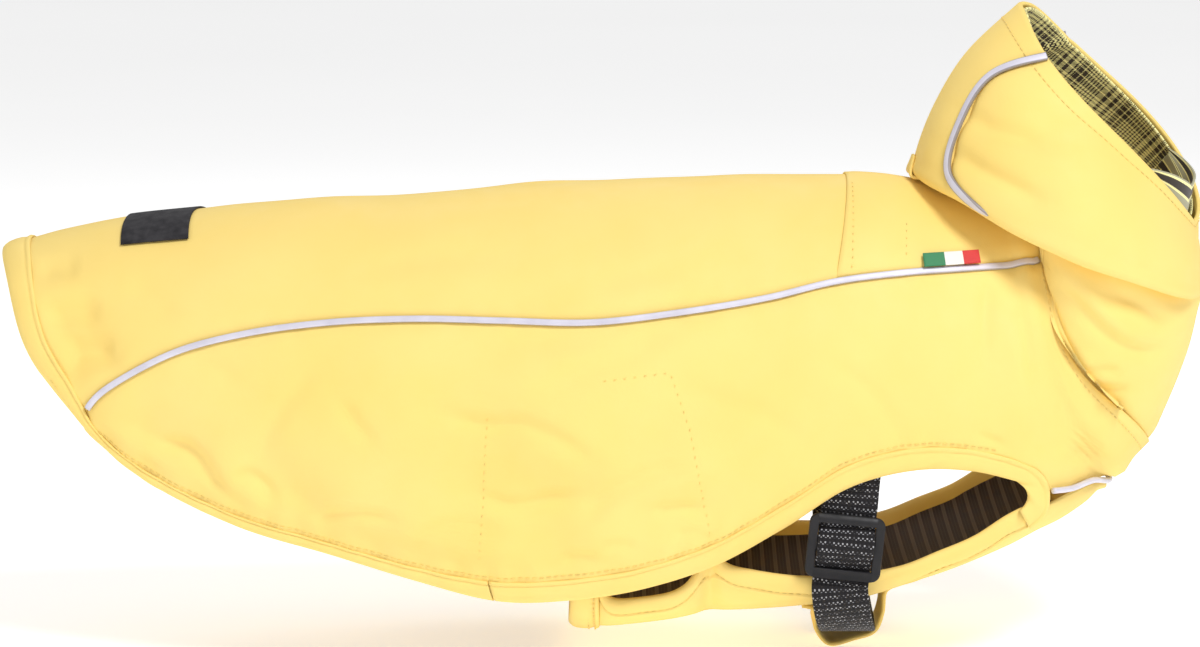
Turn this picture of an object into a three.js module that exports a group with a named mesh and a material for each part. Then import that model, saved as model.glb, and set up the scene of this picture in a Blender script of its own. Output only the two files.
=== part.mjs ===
// Dog raincoat for a small dog: soft cloth, filled out as if worn, with a hood, a belly panel and a chest strap.
// Millimetres. +X points to the head, -Y to the coat's right side and +Z up.
// The origin lies on the inner face of the back panel, over the withers.
import * as THREE from 'three';

// Cloth and seams
const CLOTH = 1.6;
const LINING = 1.0;
const SEAM_GAP = 0.3;
const HOOD_SEAM_GAP = 0.6;
const LAY_GAP = 0.3;
const FACET_ROOM = 0.3;
const LINING_GAP = 1.0;
const HOOD_LINING_GAP = 1.5;
const BAND_CLOTH = 1.2;
const LEG_BAND_WIDTH = 8.5;
const SIDE_BAND_WIDTH = 7;
const PIPING_WIDTH = 3;
const PIPING_HEIGHT = 1.5;
const CHEST_PIPING_RADIUS = 1.2;

// Height above a panel's middle surface of what is sewn on it
const ON_PANEL = CLOTH / 2 + LAY_GAP;
const BAND_LIFT = ON_PANEL + FACET_ROOM + BAND_CLOTH / 2;
const YOKE_LIFT = ON_PANEL + CLOTH / 2;
const YOKE_TOP = YOKE_LIFT + CLOTH / 2;
const LINING_LIFT = -(CLOTH / 2 + LINING_GAP + LINING / 2);
const HOOD_LINING_LIFT = -(CLOTH / 2 + HOOD_LINING_GAP + LINING / 2);
const THROAT_LIFT = HOOD_LINING_LIFT - LINING - 2 * LAY_GAP - FACET_ROOM;

// Chest strap and slider
const WEBBING_WIDTH = 22;
const WEBBING_CLOTH = 1.5;
const SLIDER = { width: 29.5, height: 25.4, thick: 2.4, side: 3.3, bar: 3.2, corner: 3.6, bevel: 0.3 };
const SLIDER_PLACE = { x: -24.2, y: -61, z: -134.2, tilt: 6 };

// Labels
const LABEL = { rear: 2.0, front: 2.84, turn: 26, thick: 0.9 };
const FLAG = { rear: 11.46, front: 12.58, height: 5, thick: 0.8 };
const HOOD_TAB = { low: [1.6, 4.3], high: [4.8, 11.6], lowHalf: 8, highHalf: 2.5, thick: 1.2 };

const COLOURS = {
  cloth: { color: 0xf5e08c, roughness: 0.82, metalness: 0 },
  piping: { color: 0xd9d6e4, roughness: 0.4, metalness: 0.1 },
  plaid: { color: 0xb9b070, roughness: 0.9, metalness: 0 },
  dark: { color: 0x4a3c34, roughness: 0.9, metalness: 0 },
  webbing: { color: 0x1b191c, roughness: 0.7, metalness: 0 },
  plastic: { color: 0x2c2b30, roughness: 0.45, metalness: 0 },
  label: { color: 0x26242a, roughness: 0.7, metalness: 0 },
  flag: { color: 0xe8e6e0, roughness: 0.7, metalness: 0 },
};

const table = (columns, rows) => rows.map(
  (row) => Object.fromEntries(columns.map((name, index) => [name, row[index]])));

// Body: from the tail's edge to the neck. The ridge is the middle of the back, and the hem is the lowest
// edge. wrap is the angle round from the ridge to the hem, seam the angle to the piping, tuck how far the
// lower half leans in, bow how far the section's line leaves the straight line from ridge to hem.
const BODY = table(
  ['ridgeX', 'ridgeZ', 'hemX', 'hemZ', 'half', 'wrap', 'tuck', 'seam', 'bow', 'band'], [
    [-356.2, -25.4, -320.9, -91.8, 40, 95, 0.4, 93, 5, 6],
    [-334.5, -18.6, -295.2, -111.4, 47, 112, 0.4, 80.1, 2, 4.5],
    [-306.5, -13.8, -259.9, -128.1, 53, 122, 0.4, 68.3, 0, 4.5],
    [-274.6, -10.5, -224.6, -138.2, 58, 129, 0.4, 62.2, 0, 5],
    [-238.7, -6.9, -191.4, -148, 62, 133, 0.4, 58.9, 0, 6],
    [-202.9, -4.5, -160.2, -155.5, 65, 135, 0.4, 57.7, 0, 8],
    [-167, -2.1, -132.9, -155.2, 67, 136, 0.4, 59.5, 0, 8.5],
    [-131.2, 0.3, -103.7, -150.5, 68, 135, 0.4, 61.8, 0, 8.5],
    [-95.4, 1.5, -74.7, -140.8, 68, 132, 0.4, 61.1, 0, 8.5],
    [-59.7, 3.1, -47.6, -125.5, 67, 126, 0.4, 59.9, 0, 8.5],
    [-31.8, 3.6, -22.6, -109.6, 66, 120, 0.4, 57.4, 0, 8.5],
    [-8, 2.4, 2.5, -103.2, 64, 118, 0.4, 55.2, 0, 8.5],
    [14, -2, 26.1, -104.3, 61, 119, 0.45, 51, 0, 8.5],
    [29.9, -4.8, 48.1, -110.8, 57, 123, 0.5, 47.6, 1, 8.5],
    [37.9, -6, 58.5, -114, 54, 130, 0.6, 46.8, 3, 8.5],
    [41.1, -6.4, 72.2, -112.9, 52, 150, 0.85, 48.3, 5.5, 8.5],
    [43.1, -6.8, 86.3, -116, 50, 180, 1, 48.5, 8, 8.5],
    [44.7, -7.2, 93.8, -109.4, 48, 180, 1, 48.6, 10, 8.5],
    [45.9, -7.6, 100.1, -102.5, 47, 180, 1, 48.9, 11.5, 8.5],
  ]);
const NECK_ROW = 18;
const CENTRE_FRONT_ROW = 16;
const CHEST_SEAM_ROW = 14;
const LEG_BAND_ROW = 5;
const LEG_TURN_ROW = 12.7;
const PIPING_REAR_ROW = 0.68;
const YOKE_REAR_ROW = 10.42;
const YOKE_REAR_CURVE = 0.38;
const YOKE_SQUARE_ROW = 11;
const YOKE_FRONT_ROW = 17.6;
const PIPING_FRONT_ROW = 17.4;

// Belly panel: from the tip at the chest to the rear end. Each section is a trough, its edge at half and
// edgeZ and its middle depth below. The rise at row 13 is the tab that is sewn behind the side panel.
const BELLY = table(
  ['edgeX', 'edgeZ', 'half', 'depth', 'centreX'], [
    [82, -118.2, 9, 2.6, 82.8],
    [77, -116.6, 18, 4.9, 78.8],
    [69.9, -114.4, 33, 11.2, 73.6],
    [58.7, -116, 45, 16, 64],
    [49, -119.9, 49, 17.2, 54],
    [39.1, -124.6, 51, 18.8, 43.2],
    [27, -132.4, 52, 16.2, 30.1],
    [13.3, -138.2, 53, 14.9, 16.2],
    [-2.2, -144.5, 53, 12.6, 0.3],
    [-21.7, -147.7, 53, 15.4, -19.5],
    [-41.2, -147.9, 54, 19.1, -39.5],
    [-58.8, -145.5, 54, 23.8, -57.4],
    [-70.6, -141.7, 55, 28.5, -69.4],
    [-76.9, -131, 56.5, 39.8, -75.8],
    [-82.5, -146, 56, 25.2, -81.6],
    [-90, -153.3, 55, 18.7, -89.4],
    [-103.7, -156.1, 55, 17.4, -103.3],
    [-114.6, -156.1, 55, 18.7, -114.5],
    [-119.3, -150.5, 55, 25.2, -119.3],
    [-124, -146.5, 55, 29.4, -124.1],
    [-129.3, -146.7, 54, 28.4, -131],
  ]);
const BELLY_REAR_ROW = 20;
const BELLY_TAB_ROW = 13;
const BELLY_TURN_ROW = 4.75;
const BELLY_EDGE_TURN = 90;
const BELLY_BAND_ROW = 17.9;
const TAB_MITRE = 19;

// Hood: rings from the neck seam up to the rim. back is on the middle of the nape, front on the throat,
// seam the angle round from the back to the hood's piping. Ring 3 is the fold that hangs over the neck.
const HOOD = table(
  ['backX', 'backZ', 'frontX', 'frontZ', 'half', 'bow', 'lead', 'seam'], [
    [47.6, -2.7, 101.2, -101.2, 47, 11.9, 1, 56],
    [40.4, -1.9, 113.8, -67.5, 49, 8.7, 1, 56],
    [33.9, -0.6, 118.1, -48.8, 50, -2.9, 1, 56],
    [7.6, 4, 119.6, -41.5, 58, -0.8, 1, 56],
    [6.7, 11.9, 119.4, -33.5, 60, -2.4, 1, 35],
    [13.6, 31.4, 118.8, -26.2, 57, -0.8, 0.8, 31],
    [26.3, 52.5, 117.9, -20.6, 50, 3, 0.6, 33],
    [46.6, 71.9, 116.6, -15, 38, 6, 0.5, 49],
  ]);
const HOOD_FOLD_RING = 3;
const RIM_RING = 7;
const LINING_RING = 3.9;
const THROAT_RING = 6.4;
const FAR_SIDE_LEAN = { x: 19, z: 4.4 };

// Turn round the front of a leg hole: the band's edge and inner line run round one centre.
const LEG_TURN_CENTRE = { x: 41.6, z: -117 };
const LEG_TURN_RADIUS = 7;
const LEG_TURN = table(['turn', 'edgeY', 'innerY'], [
  [60, 56, 55.6],
  [30, 55, 52.4],
  [0, 53.8, 50.4],
  [-30, 53.8, 48.4],
  [-60, 54.2, 47.6],
]);

// Striped lining at the throat: how far it stands above the rim, round from the back of the hood
const THROAT_LIP = table(['turn', 'rise'], [
  [114, 0.5], [122, 1.6], [134, 6], [150, 11.5], [165, 15], [180, 15], [195, 14], [210, 11], [225, 7], [240, 2],
]);
const LIP_LEAN = 0.22;

// Folds in the cloth: a soft ridge, or a trough where height is below zero, along each line
const BODY_FOLDS = table(['fromX', 'fromZ', 'toX', 'toZ', 'wide', 'height'], [
  [-333, -52, -322, -50, 7, -2.5],
  [-324, -70, -312, -66, 7, -3],
  [-296, -92, -274, -98, 9, -3],
  [-268, -101, -258, -117, 8, 3],
  [-252, -104, -240, -116, 8, -3],
  [-212, -119, -196, -118, 9, 2.2],
  [-180, -83, -146, -84, 9, -2.4],
  [-141, -88, -118, -101, 9, 2.4],
  [-166, -114, -126, -112, 9, -3],
  [-120, -124, -86, -103, 9, 3.2],
  [-102, -118, -80, -116, 8, -2.4],
  [-142, -69, -98, -50, 12, 2],
  [-190, -130, -160, -131, 8, 2],
  [32, -34, 29, -62, 8, -1.6],
  [44, -50, 45, -80, 7, 2],
  [64, -84, 60, -102, 7, -2],
]);
const HOOD_FOLDS = table(['fromX', 'fromZ', 'toX', 'toZ', 'wide', 'height'], [
  [24, 33, 50, 25, 7, -2.2],
  [18, 18, 48, 4, 7, -2],
  [62, -32, 84, -54, 6, 2.4],
  [80, -38, 100, -52, 5, -2],
  [72, -68, 84, -68, 5, 1.8],
]);
const FAR_SIDE_FOLDS = { x: 9, z: -5, share: 0.85 };

// Strap from the right side panel down to the slider, then from the slider round under the belly
const STRAP_TOP = [[-20.6, -61.9, -88], [-20.9, -61, -96], [-21.4, -60, -104], [-22, -59.4, -111]];
const STRAP_WEAVE = table(['down', 'out'], [
  [-17, -1.8], [-13.4, -2.4], [-9, -2.4], [-5.5, -0.1], [-1.9, 2.3], [1.9, 2.3], [5.5, -0.1], [9, -2.4],
  [13.4, -2.4], [17, -1.8],
]);
const STRAP_REST = [
  [-25.2, -57.5, -158], [-23.8, -52, -165], [-22.2, -43, -170.5], [-21, -30, -173.8], [-20.2, -14, -175],
  [-19.6, 0, -175.2], [-19.4, 14, -175], [-19.2, 30, -173.5], [-19, 43, -169.5], [-19, 51.5, -163],
  [-19.2, 56.5, -154], [-19.6, 58.6, -143], [-20, 59.6, -130], [-20.4, 59.2, -112], [-20.6, 60, -104],
  [-20.7, 61, -96], [-20.8, 61.9, -88],
];

// Loop of cloth under the belly that holds the strap, from its rear end to its front end, in X and Z
const BELT_LOOP_HALF = 12;
const BELT_LOOP = [
  [-38, -169], [-33.6, -170.2], [-32.6, -174], [-32.4, -178.6], [-27, -184.6], [-17, -182.4], [-9, -179.4],
  [-5.8, -172], [-4.8, -163.4], [-0.6, -160.4],
];

const STEP = 0.02;
const { lerp, degToRad, radToDeg, clamp, smoothstep } = THREE.MathUtils;
const sine = (degrees) => Math.sin(degToRad(degrees));
const cosine = (degrees) => Math.cos(degToRad(degrees));

function catmullRom(before, start, end, after, share) {
  const slopeStart = (end - before) / 2;
  const slopeEnd = (after - start) / 2;
  const cubic = 2 * start - 2 * end + slopeStart + slopeEnd;
  const square = -3 * start + 3 * end - 2 * slopeStart - slopeEnd;
  return ((cubic * share + square) * share + slopeStart) * share + start;
}

// Every column of a table at a place between its rows
function rowAt(rows, place) {
  const last = rows.length - 1;
  const index = clamp(Math.floor(place), 0, last - 1);
  const before = rows[Math.max(index - 1, 0)];
  const after = rows[Math.min(index + 2, last)];
  const row = {};
  for (const name of Object.keys(rows[0])) {
    row[name] = catmullRom(before[name], rows[index][name], rows[index + 1][name], after[name], place - index);
  }
  return row;
}

function range(start, end, count) {
  return Array.from({ length: count + 1 }, (_, index) => lerp(start, end, index / count));
}

// A skin is a surface with its outer side: a point and an outward direction at any u and v
function skin(point, facing) {
  const outward = (u, v) => {
    const alongU = point(u + STEP, v).sub(point(u - STEP, v));
    const alongV = point(u, v + STEP).sub(point(u, v - STEP));
    return alongU.cross(alongV).normalize().multiplyScalar(facing);
  };
  const lifted = (height) => skin((u, v) => point(u, v).addScaledVector(outward(u, v), height), facing);
  return { point, outward, lifted };
}

// Height of the folds at a place on the coat's side. The far side has the same folds, moved and softer.
function foldHeight(folds, point) {
  const far = point.y > 0;
  const x = far ? point.x - FAR_SIDE_FOLDS.x : point.x;
  const z = far ? point.z - FAR_SIDE_FOLDS.z : point.z;
  let height = 0;
  for (const fold of folds) {
    const runX = fold.toX - fold.fromX;
    const runZ = fold.toZ - fold.fromZ;
    const along = ((x - fold.fromX) * runX + (z - fold.fromZ) * runZ) / (runX * runX + runZ * runZ);
    const share = clamp(along, 0, 1);
    const away = Math.hypot(x - fold.fromX - share * runX, z - fold.fromZ - share * runZ);
    height += fold.height * Math.exp(-(away * away) / (2 * fold.wide * fold.wide));
  }
  return far ? height * FAR_SIDE_FOLDS.share : height;
}

// A line from one end to the other end, bowed to its lower left, in X and Z. The bow is deepest halfway,
// or nearer to the start where lead is under 1.
function bowedLine(startX, startZ, endX, endZ, bow, share, lead = 1) {
  const runX = endX - startX;
  const runZ = endZ - startZ;
  const length = Math.hypot(runX, runZ);
  const push = bow * Math.sin(Math.PI * share ** lead) ** 2 / length;
  return { x: startX + runX * share + push * runZ, z: startZ + runZ * share - push * runX };
}

// Body: u is the row, v the angle round from the ridge in degrees, above zero on the right side
const bodyForm = skin((u, v) => {
  const row = rowAt(BODY, u);
  const turn = Math.abs(v);
  const share = (1 - cosine(turn)) / (1 - cosine(row.wrap));
  const line = bowedLine(row.ridgeX, row.ridgeZ, row.hemX, row.hemZ, row.bow, share);
  const reach = turn < 90 ? sine(turn) : 1 - row.tuck * (1 - sine(turn));
  return new THREE.Vector3(line.x, -Math.sign(v) * row.half * reach, line.z);
}, -1);

const SEAM_CALM = [2, 12];
const HEM_CALM = [9, 20];
const TAIL_CALM = [0.3, 0.8];
const body = skin((u, v) => {
  const row = rowAt(BODY, u);
  const point = bodyForm.point(u, v);
  const fromSeam = Math.abs(degToRad(Math.abs(v) - row.seam)) * row.half;
  const fromHem = degToRad(row.wrap - Math.abs(v)) * row.half;
  const calm = smoothstep(fromSeam, ...SEAM_CALM) * smoothstep(fromHem, ...HEM_CALM) * smoothstep(u, ...TAIL_CALM);
  return point.addScaledVector(bodyForm.outward(u, v), calm * foldHeight(BODY_FOLDS, point));
}, -1);

const belly = skin((u, v) => {
  const row = rowAt(BELLY, u);
  return new THREE.Vector3(
    lerp(row.edgeX, row.centreX, cosine(v)), -row.half * sine(v), row.edgeZ - row.depth * cosine(v));
}, -1);

const hoodForm = skin((u, v) => {
  const row = rowAt(HOOD, u);
  const share = (1 - cosine(v)) / 2;
  const line = bowedLine(row.backX, row.backZ, row.frontX, row.frontZ, row.bow, share, row.lead);
  const lean = Math.max(0, -sine(v)) * smoothstep(u, HOOD_FOLD_RING, RIM_RING);
  return new THREE.Vector3(
    line.x + FAR_SIDE_LEAN.x * lean, -row.half * sine(v), line.z + FAR_SIDE_LEAN.z * lean);
}, -1);

const hood = skin((u, v) => {
  const point = hoodForm.point(u, v);
  const calm = smoothstep(Math.abs(sine(v)), 0.2, 0.7);
  return point.addScaledVector(hoodForm.outward(u, v), calm * foldHeight(HOOD_FOLDS, point));
}, -1);

// A closed body from points and triangles, turned so that its faces point out
function closedBody(points, faces) {
  const volume = faces.reduce(
    (sum, [a, b, c]) => sum + points[a].dot(new THREE.Vector3().crossVectors(points[b], points[c])), 0);
  const index = faces.flatMap(([a, b, c]) => (volume < 0 ? [a, c, b] : [a, b, c]));
  const geometry = new THREE.BufferGeometry();
  geometry.setAttribute('position', new THREE.Float32BufferAttribute(points.flatMap((point) => point.toArray()), 3));
  geometry.setIndex(index);
  geometry.computeVertexNormals();
  return geometry;
}

// Cloth of even thickness on a skin. A ring of cloth closes on itself along v.
function wall(surface, uValues, vValues, thickness, ring = false) {
  const outer = [];
  const inner = [];
  for (const u of uValues) {
    for (const v of vValues) {
      const point = surface.point(u, v);
      const out = surface.outward(u, v);
      outer.push(point.clone().addScaledVector(out, thickness / 2));
      inner.push(point.addScaledVector(out, -thickness / 2));
    }
  }
  const under = outer.length;
  const columns = vValues.length;
  const lastRow = uValues.length - 2;
  const lastColumn = ring ? columns - 1 : columns - 2;
  const faces = [];
  const rim = (from, to) => faces.push([from, to, under + to], [from, under + to, under + from]);
  for (let row = 0; row <= lastRow; row += 1) {
    for (let column = 0; column <= lastColumn; column += 1) {
      const next = (column + 1) % columns;
      const a = row * columns + column;
      const b = a + columns;
      const c = (row + 1) * columns + next;
      const d = row * columns + next;
      faces.push([a, b, c], [a, c, d], [under + a, under + c, under + b], [under + a, under + d, under + c]);
      if (row === 0) rim(a, d);
      if (row === lastRow) rim(c, b);
      if (!ring && column === 0) rim(b, a);
      if (!ring && column === lastColumn) rim(d, c);
    }
  }
  return closedBody([...outer, ...inner], faces);
}

// A convex profile swept through stations. Each station has a point and the directions across and out.
function sweep(stations, profile) {
  const size = profile.length;
  const points = stations.flatMap(({ point, across, out }) => profile.map(
    ([alongAcross, alongOut]) => point.clone().addScaledVector(across, alongAcross).addScaledVector(out, alongOut)));
  const faces = [];
  for (let station = 0; station < stations.length - 1; station += 1) {
    for (let corner = 0; corner < size; corner += 1) {
      const near = station * size + corner;
      const next = station * size + (corner + 1) % size;
      faces.push([near, next, next + size], [near, next + size, near + size]);
    }
  }
  const end = (stations.length - 1) * size;
  for (let corner = 1; corner < size - 1; corner += 1) {
    faces.push([0, corner + 1, corner], [end, end + corner, end + corner + 1]);
  }
  return closedBody(points, faces);
}

const halfRound = (width, height) => [
  [-width / 2, 0], [width / 2, 0], [width * 0.36, height * 0.75], [0, height], [-width * 0.36, height * 0.75]];
const flat = (width, thickness) => [
  [-width / 2, -thickness / 2], [width / 2, -thickness / 2], [width / 2, thickness / 2], [-width / 2, thickness / 2]];
const bandProfile = [[0, -BAND_CLOTH / 2], [1, -BAND_CLOTH / 2], [1, BAND_CLOTH / 2], [0, BAND_CLOTH / 2]];
const circle = (radius, sides) => Array.from({ length: sides }, (_, index) => {
  const turn = (index / sides) * 2 * Math.PI;
  return [radius * Math.cos(turn), radius * Math.sin(turn)];
});

// Stations along a line on a skin, for what lies on its outer side
function stationsOn(surface, places, lift) {
  const points = places.map(([u, v]) => surface.lifted(lift).point(u, v));
  return points.map((point, index) => {
    const along = points[Math.min(index + 1, points.length - 1)].clone().sub(points[Math.max(index - 1, 0)]);
    const out = surface.outward(...places[index]);
    return { point, out, across: along.normalize().cross(out).normalize() };
  });
}

// Angle on a skin that covers a width across it, from v towards its middle
function turnFor(surface, u, v, width) {
  const guess = v - Math.sign(v) * 5;
  const speed = surface.point(u, guess + STEP).distanceTo(surface.point(u, guess - STEP)) / (2 * STEP);
  return width / speed;
}

const bodyRow = (u) => rowAt(BODY, u);
const gapTurn = (half, gap = SEAM_GAP) => radToDeg(gap / 2 / half);
const pipingTurn = (half) => radToDeg((PIPING_WIDTH / 2 + LAY_GAP + FACET_ROOM) / half);
const BODY_ROWS = [...range(0, 10, 20), 11, 12, 13, 14, 15, 16, 17, NECK_ROW];

function backPanel() {
  const surface = skin((u, v) => {
    const row = bodyRow(u);
    return body.point(u, v * (row.seam - gapTurn(row.half)));
  }, -1);
  return wall(surface, BODY_ROWS, range(-1, 1, 12), CLOTH);
}

function sidePanel(side) {
  const surface = skin((u, v) => {
    const row = bodyRow(u);
    const gap = gapTurn(row.half);
    const end = row.wrap - (u > CHEST_SEAM_ROW ? gap : 0);
    return body.point(u, side * lerp(row.seam + gap, end, v));
  }, -side);
  return wall(surface, BODY_ROWS, range(0, 1, 10), CLOTH);
}

function shoulderYoke() {
  const surface = skin((u, v) => {
    const rear = clamp((YOKE_SQUARE_ROW - u) / (YOKE_SQUARE_ROW - YOKE_REAR_ROW), 0, 1);
    const row = bodyRow(u);
    const place = u - YOKE_REAR_CURVE * v * v * rear;
    return body.point(place, v * (row.seam - pipingTurn(row.half)));
  }, -1).lifted(YOKE_LIFT + FACET_ROOM / 2);
  return wall(surface, [YOKE_REAR_ROW, YOKE_SQUARE_ROW, 12, 13, 14, 15, 16, 17, YOKE_FRONT_ROW], range(-1, 1, 12), CLOTH);
}

function bodyPiping(side) {
  const rows = [PIPING_REAR_ROW, ...range(1, 10, 18), 11, 12, 13, 14, 15, 16, 17, PIPING_FRONT_ROW];
  const places = rows.map((u) => [u, side * bodyRow(u).seam]);
  return sweep(stationsOn(body, places, ON_PANEL), halfRound(PIPING_WIDTH, PIPING_HEIGHT));
}

// Band stations between the edge and the inner line of a band, each a place on the skin
function bandStations(surface, lines) {
  const raised = surface.lifted(BAND_LIFT);
  return lines.map(([edge, inner]) => {
    const point = raised.point(...edge);
    const across = raised.point(...inner).sub(point);
    return { point, across, out: surface.outward((edge[0] + inner[0]) / 2, (edge[1] + inner[1]) / 2) };
  });
}

// One half of the hem band: from the middle of the tail round the corner and along the hem
function hemBandHalf(side) {
  const tailHalf = bodyRow(0).wrap;
  const tailWidth = (turn) => {
    const width = lerp(7, 5, turn / tailHalf);
    const speed = body.point(STEP, turn).distanceTo(body.point(0, turn)) / STEP;
    return width / speed;
  };
  const tail = [0, 15, 30, 45, 60, 74, 85].map((turn) => [[0, side * turn], [tailWidth(turn), side * turn]]);
  const corner = [[0, side * tailHalf], [tailWidth(tailHalf) * 0.8, side * (tailHalf - 5)]];
  const hem = [0.35, 0.7, ...range(1, LEG_BAND_ROW - 0.02, 10)].map((u) => {
    const row = bodyRow(u);
    return [[u, side * row.wrap], [u, side * (row.wrap - radToDeg(row.band / row.half))]];
  });
  return [...tail, corner, ...hem];
}

function hemBand() {
  const right = hemBandHalf(1);
  const left = hemBandHalf(-1).slice(1).reverse();
  return sweep(bandStations(body, [...left, ...right]), bandProfile);
}

function legBand(side) {
  const upperRows = [...range(LEG_BAND_ROW, 10, 10), 10.5, 11, 11.5, 12, LEG_TURN_ROW];
  const upper = bandStations(body, upperRows.map((u) => {
    const row = bodyRow(u);
    return [[u, side * row.wrap], [u, side * (row.wrap - radToDeg(row.band / row.half))]];
  }));
  const innerRadius = LEG_TURN_RADIUS + LEG_BAND_WIDTH;
  const around = (radius, turn, y) => new THREE.Vector3(
    LEG_TURN_CENTRE.x + radius * cosine(turn), -side * y, LEG_TURN_CENTRE.z + radius * sine(turn));
  const front = LEG_TURN.map(({ turn, edgeY, innerY }) => {
    const point = around(LEG_TURN_RADIUS, turn, edgeY);
    const across = around(innerRadius, turn, innerY).sub(point);
    const along = new THREE.Vector3(-sine(turn), 0, cosine(turn));
    return { point, across, out: across.clone().cross(along).normalize().multiplyScalar(side) };
  });
  return sweep([...upper, ...front], bandProfile);
}

// Bands along the belly panel's edge meet at the tab, where their inner lines run down to one point
function bellyBand(side, rows, width) {
  const surface = skin((u, v) => {
    const fromTab = smoothstep(Math.abs(u - BELLY_TAB_ROW), 0, 1);
    const turn = turnFor(belly, u, BELLY_EDGE_TURN, lerp(TAB_MITRE, width, fromTab));
    return belly.point(u, side * (BELLY_EDGE_TURN - turn * v));
  }, side).lifted(BAND_LIFT);
  return wall(surface, rows, range(0, 1, 3), BAND_CLOTH);
}

const bellyEdgeBand = (side) => bellyBand(
  side, [...range(BELLY_TURN_ROW, 12, 11), 12.5, BELLY_TAB_ROW - 0.12], LEG_BAND_WIDTH);
const bellySideBand = (side) => bellyBand(
  side, [BELLY_TAB_ROW + 0.12, 13.5, 14, ...range(15, BELLY_BAND_ROW, 4)], SIDE_BAND_WIDTH);
const BELLY_TURNS = [0, 16, 32, 46, 58, 69, 80, BELLY_EDGE_TURN];
const bellyTurns = (last) => [...BELLY_TURNS.slice(1, last).reverse().map((turn) => -turn), ...BELLY_TURNS.slice(0, last)];
const bellyPanel = () => wall(
  belly, [...range(0, 12, 12), 12.5, 13, 13.5, 14, ...range(15, BELLY_REAR_ROW, 5)],
  bellyTurns(8), CLOTH);
const bellyRearBand = () => wall(
  belly.lifted(BAND_LIFT), range(BELLY_BAND_ROW + 0.1, BELLY_REAR_ROW, 2), bellyTurns(8), BAND_CLOTH);
const bellyLining = () => wall(
  belly.lifted(LINING_LIFT), [3, 4, 5, 6, 7, 8, 9, 10, 11, 12, 13, 14, 16, 18, BELLY_REAR_ROW - 0.1],
  bellyTurns(7), LINING);

// Piping in the chest seam, from one leg band round the front to the other
function chestPiping() {
  const rows = range(CHEST_SEAM_ROW + 0.25, CENTRE_FRONT_ROW, 6);
  const halfPath = (side) => rows.map((u) => {
    const turn = side * bodyRow(u).wrap;
    return { seam: bodyForm.point(u, turn), out: bodyForm.outward(u, turn) };
  });
  const path = [...halfPath(1), ...halfPath(-1).reverse().slice(1)];
  const stations = path.map(({ seam, out }, index) => {
    const before = path[Math.max(index - 1, 0)].seam;
    const after = path[Math.min(index + 1, path.length - 1)].seam;
    const along = after.clone().sub(before).normalize();
    const level = new THREE.Vector3(along.y, -along.x, 0).normalize();
    const away = out.clone().add(level).normalize();
    const point = seam.clone().addScaledVector(away, CLOTH / 2 + LAY_GAP + CHEST_PIPING_RADIUS + 1);
    return { point, out: away, across: along.clone().cross(away).normalize() };
  });
  return sweep(stations, circle(CHEST_PIPING_RADIUS, 8));
}

const hoodRow = (u) => rowAt(HOOD, u);
const HOOD_RINGS = [0, 0.7, 1.4, 2, 2.5, 2.85, 3.15, 3.6, 4, 4.6, 5.2, 5.8, 6.4, 7];

function hoodSide(side) {
  const surface = skin((u, v) => {
    const row = hoodRow(u);
    const gap = gapTurn(row.half, HOOD_SEAM_GAP);
    return hood.point(u, side * lerp(row.seam + gap, 180 - gap, v));
  }, -side);
  return wall(surface, HOOD_RINGS, range(0, 1, 11), CLOTH);
}

function hoodCrown() {
  const surface = skin((u, v) => {
    const row = hoodRow(u);
    return hood.point(u, v * (row.seam - gapTurn(row.half, HOOD_SEAM_GAP)));
  }, -1);
  return wall(surface, HOOD_RINGS, range(-1, 1, 8), CLOTH);
}

function hoodPiping(side) {
  const places = range(HOOD_FOLD_RING + 0.15, RIM_RING, 14).map((u) => [u, side * hoodRow(u).seam]);
  return sweep(stationsOn(hood, places, ON_PANEL + FACET_ROOM), halfRound(PIPING_WIDTH, PIPING_HEIGHT));
}

const hoodLining = () => wall(
  hood.lifted(HOOD_LINING_LIFT), range(LINING_RING, RIM_RING, 8), range(0, 345, 23), LINING, true);

function throatLining() {
  const inside = hood.lifted(THROAT_LIFT);
  const last = THROAT_LIP.length - 1;
  const surface = skin((u, v) => {
    const { turn, rise } = rowAt(THROAT_LIP, v);
    if (u <= 1) return inside.point(lerp(THROAT_RING, RIM_RING, u), turn);
    const out = hood.outward(RIM_RING, turn).setZ(0).normalize();
    return inside.point(RIM_RING, turn).add(new THREE.Vector3(
      out.x * LIP_LEAN * rise * (u - 1), out.y * LIP_LEAN * rise * (u - 1), rise * (u - 1)));
  }, -1);
  return wall(surface, [0, 0.5, 1, 1.5, 2], range(0, last, 12), LINING);
}

function hoodTab() {
  const { low, high, lowHalf, highHalf, thick } = HOOD_TAB;
  const surface = skin((u, v) => new THREE.Vector3(
    lerp(low[0], high[0], u), v * lerp(lowHalf, highHalf, u), lerp(low[1], high[1], u)), 1);
  return wall(surface, [0, 1], range(-1, 1, 4), thick);
}

function tailLabel() {
  const surface = body.lifted(ON_PANEL + LABEL.thick / 2);
  return wall(surface, range(LABEL.rear, LABEL.front, 3), range(-LABEL.turn, LABEL.turn, 8), LABEL.thick);
}

function flagTab() {
  const surface = skin((u, v) => {
    const row = bodyRow(u);
    const low = row.seam - pipingTurn(row.half);
    return body.point(u, low - v * radToDeg(FLAG.height / row.half));
  }, 1).lifted(YOKE_TOP + LAY_GAP + FLAG.thick / 2);
  return wall(surface, range(FLAG.rear, FLAG.front, 4), [0, 0.5, 1], FLAG.thick);
}

// Stations along a list of points for a flat band whose width stays close to one direction
function flatStations(points, width) {
  return points.map((point, index) => {
    const along = points[Math.min(index + 1, points.length - 1)].clone().sub(points[Math.max(index - 1, 0)]);
    along.normalize();
    const across = width.clone().addScaledVector(along, -width.dot(along)).normalize();
    return { point, across, out: across.clone().cross(along) };
  });
}

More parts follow.
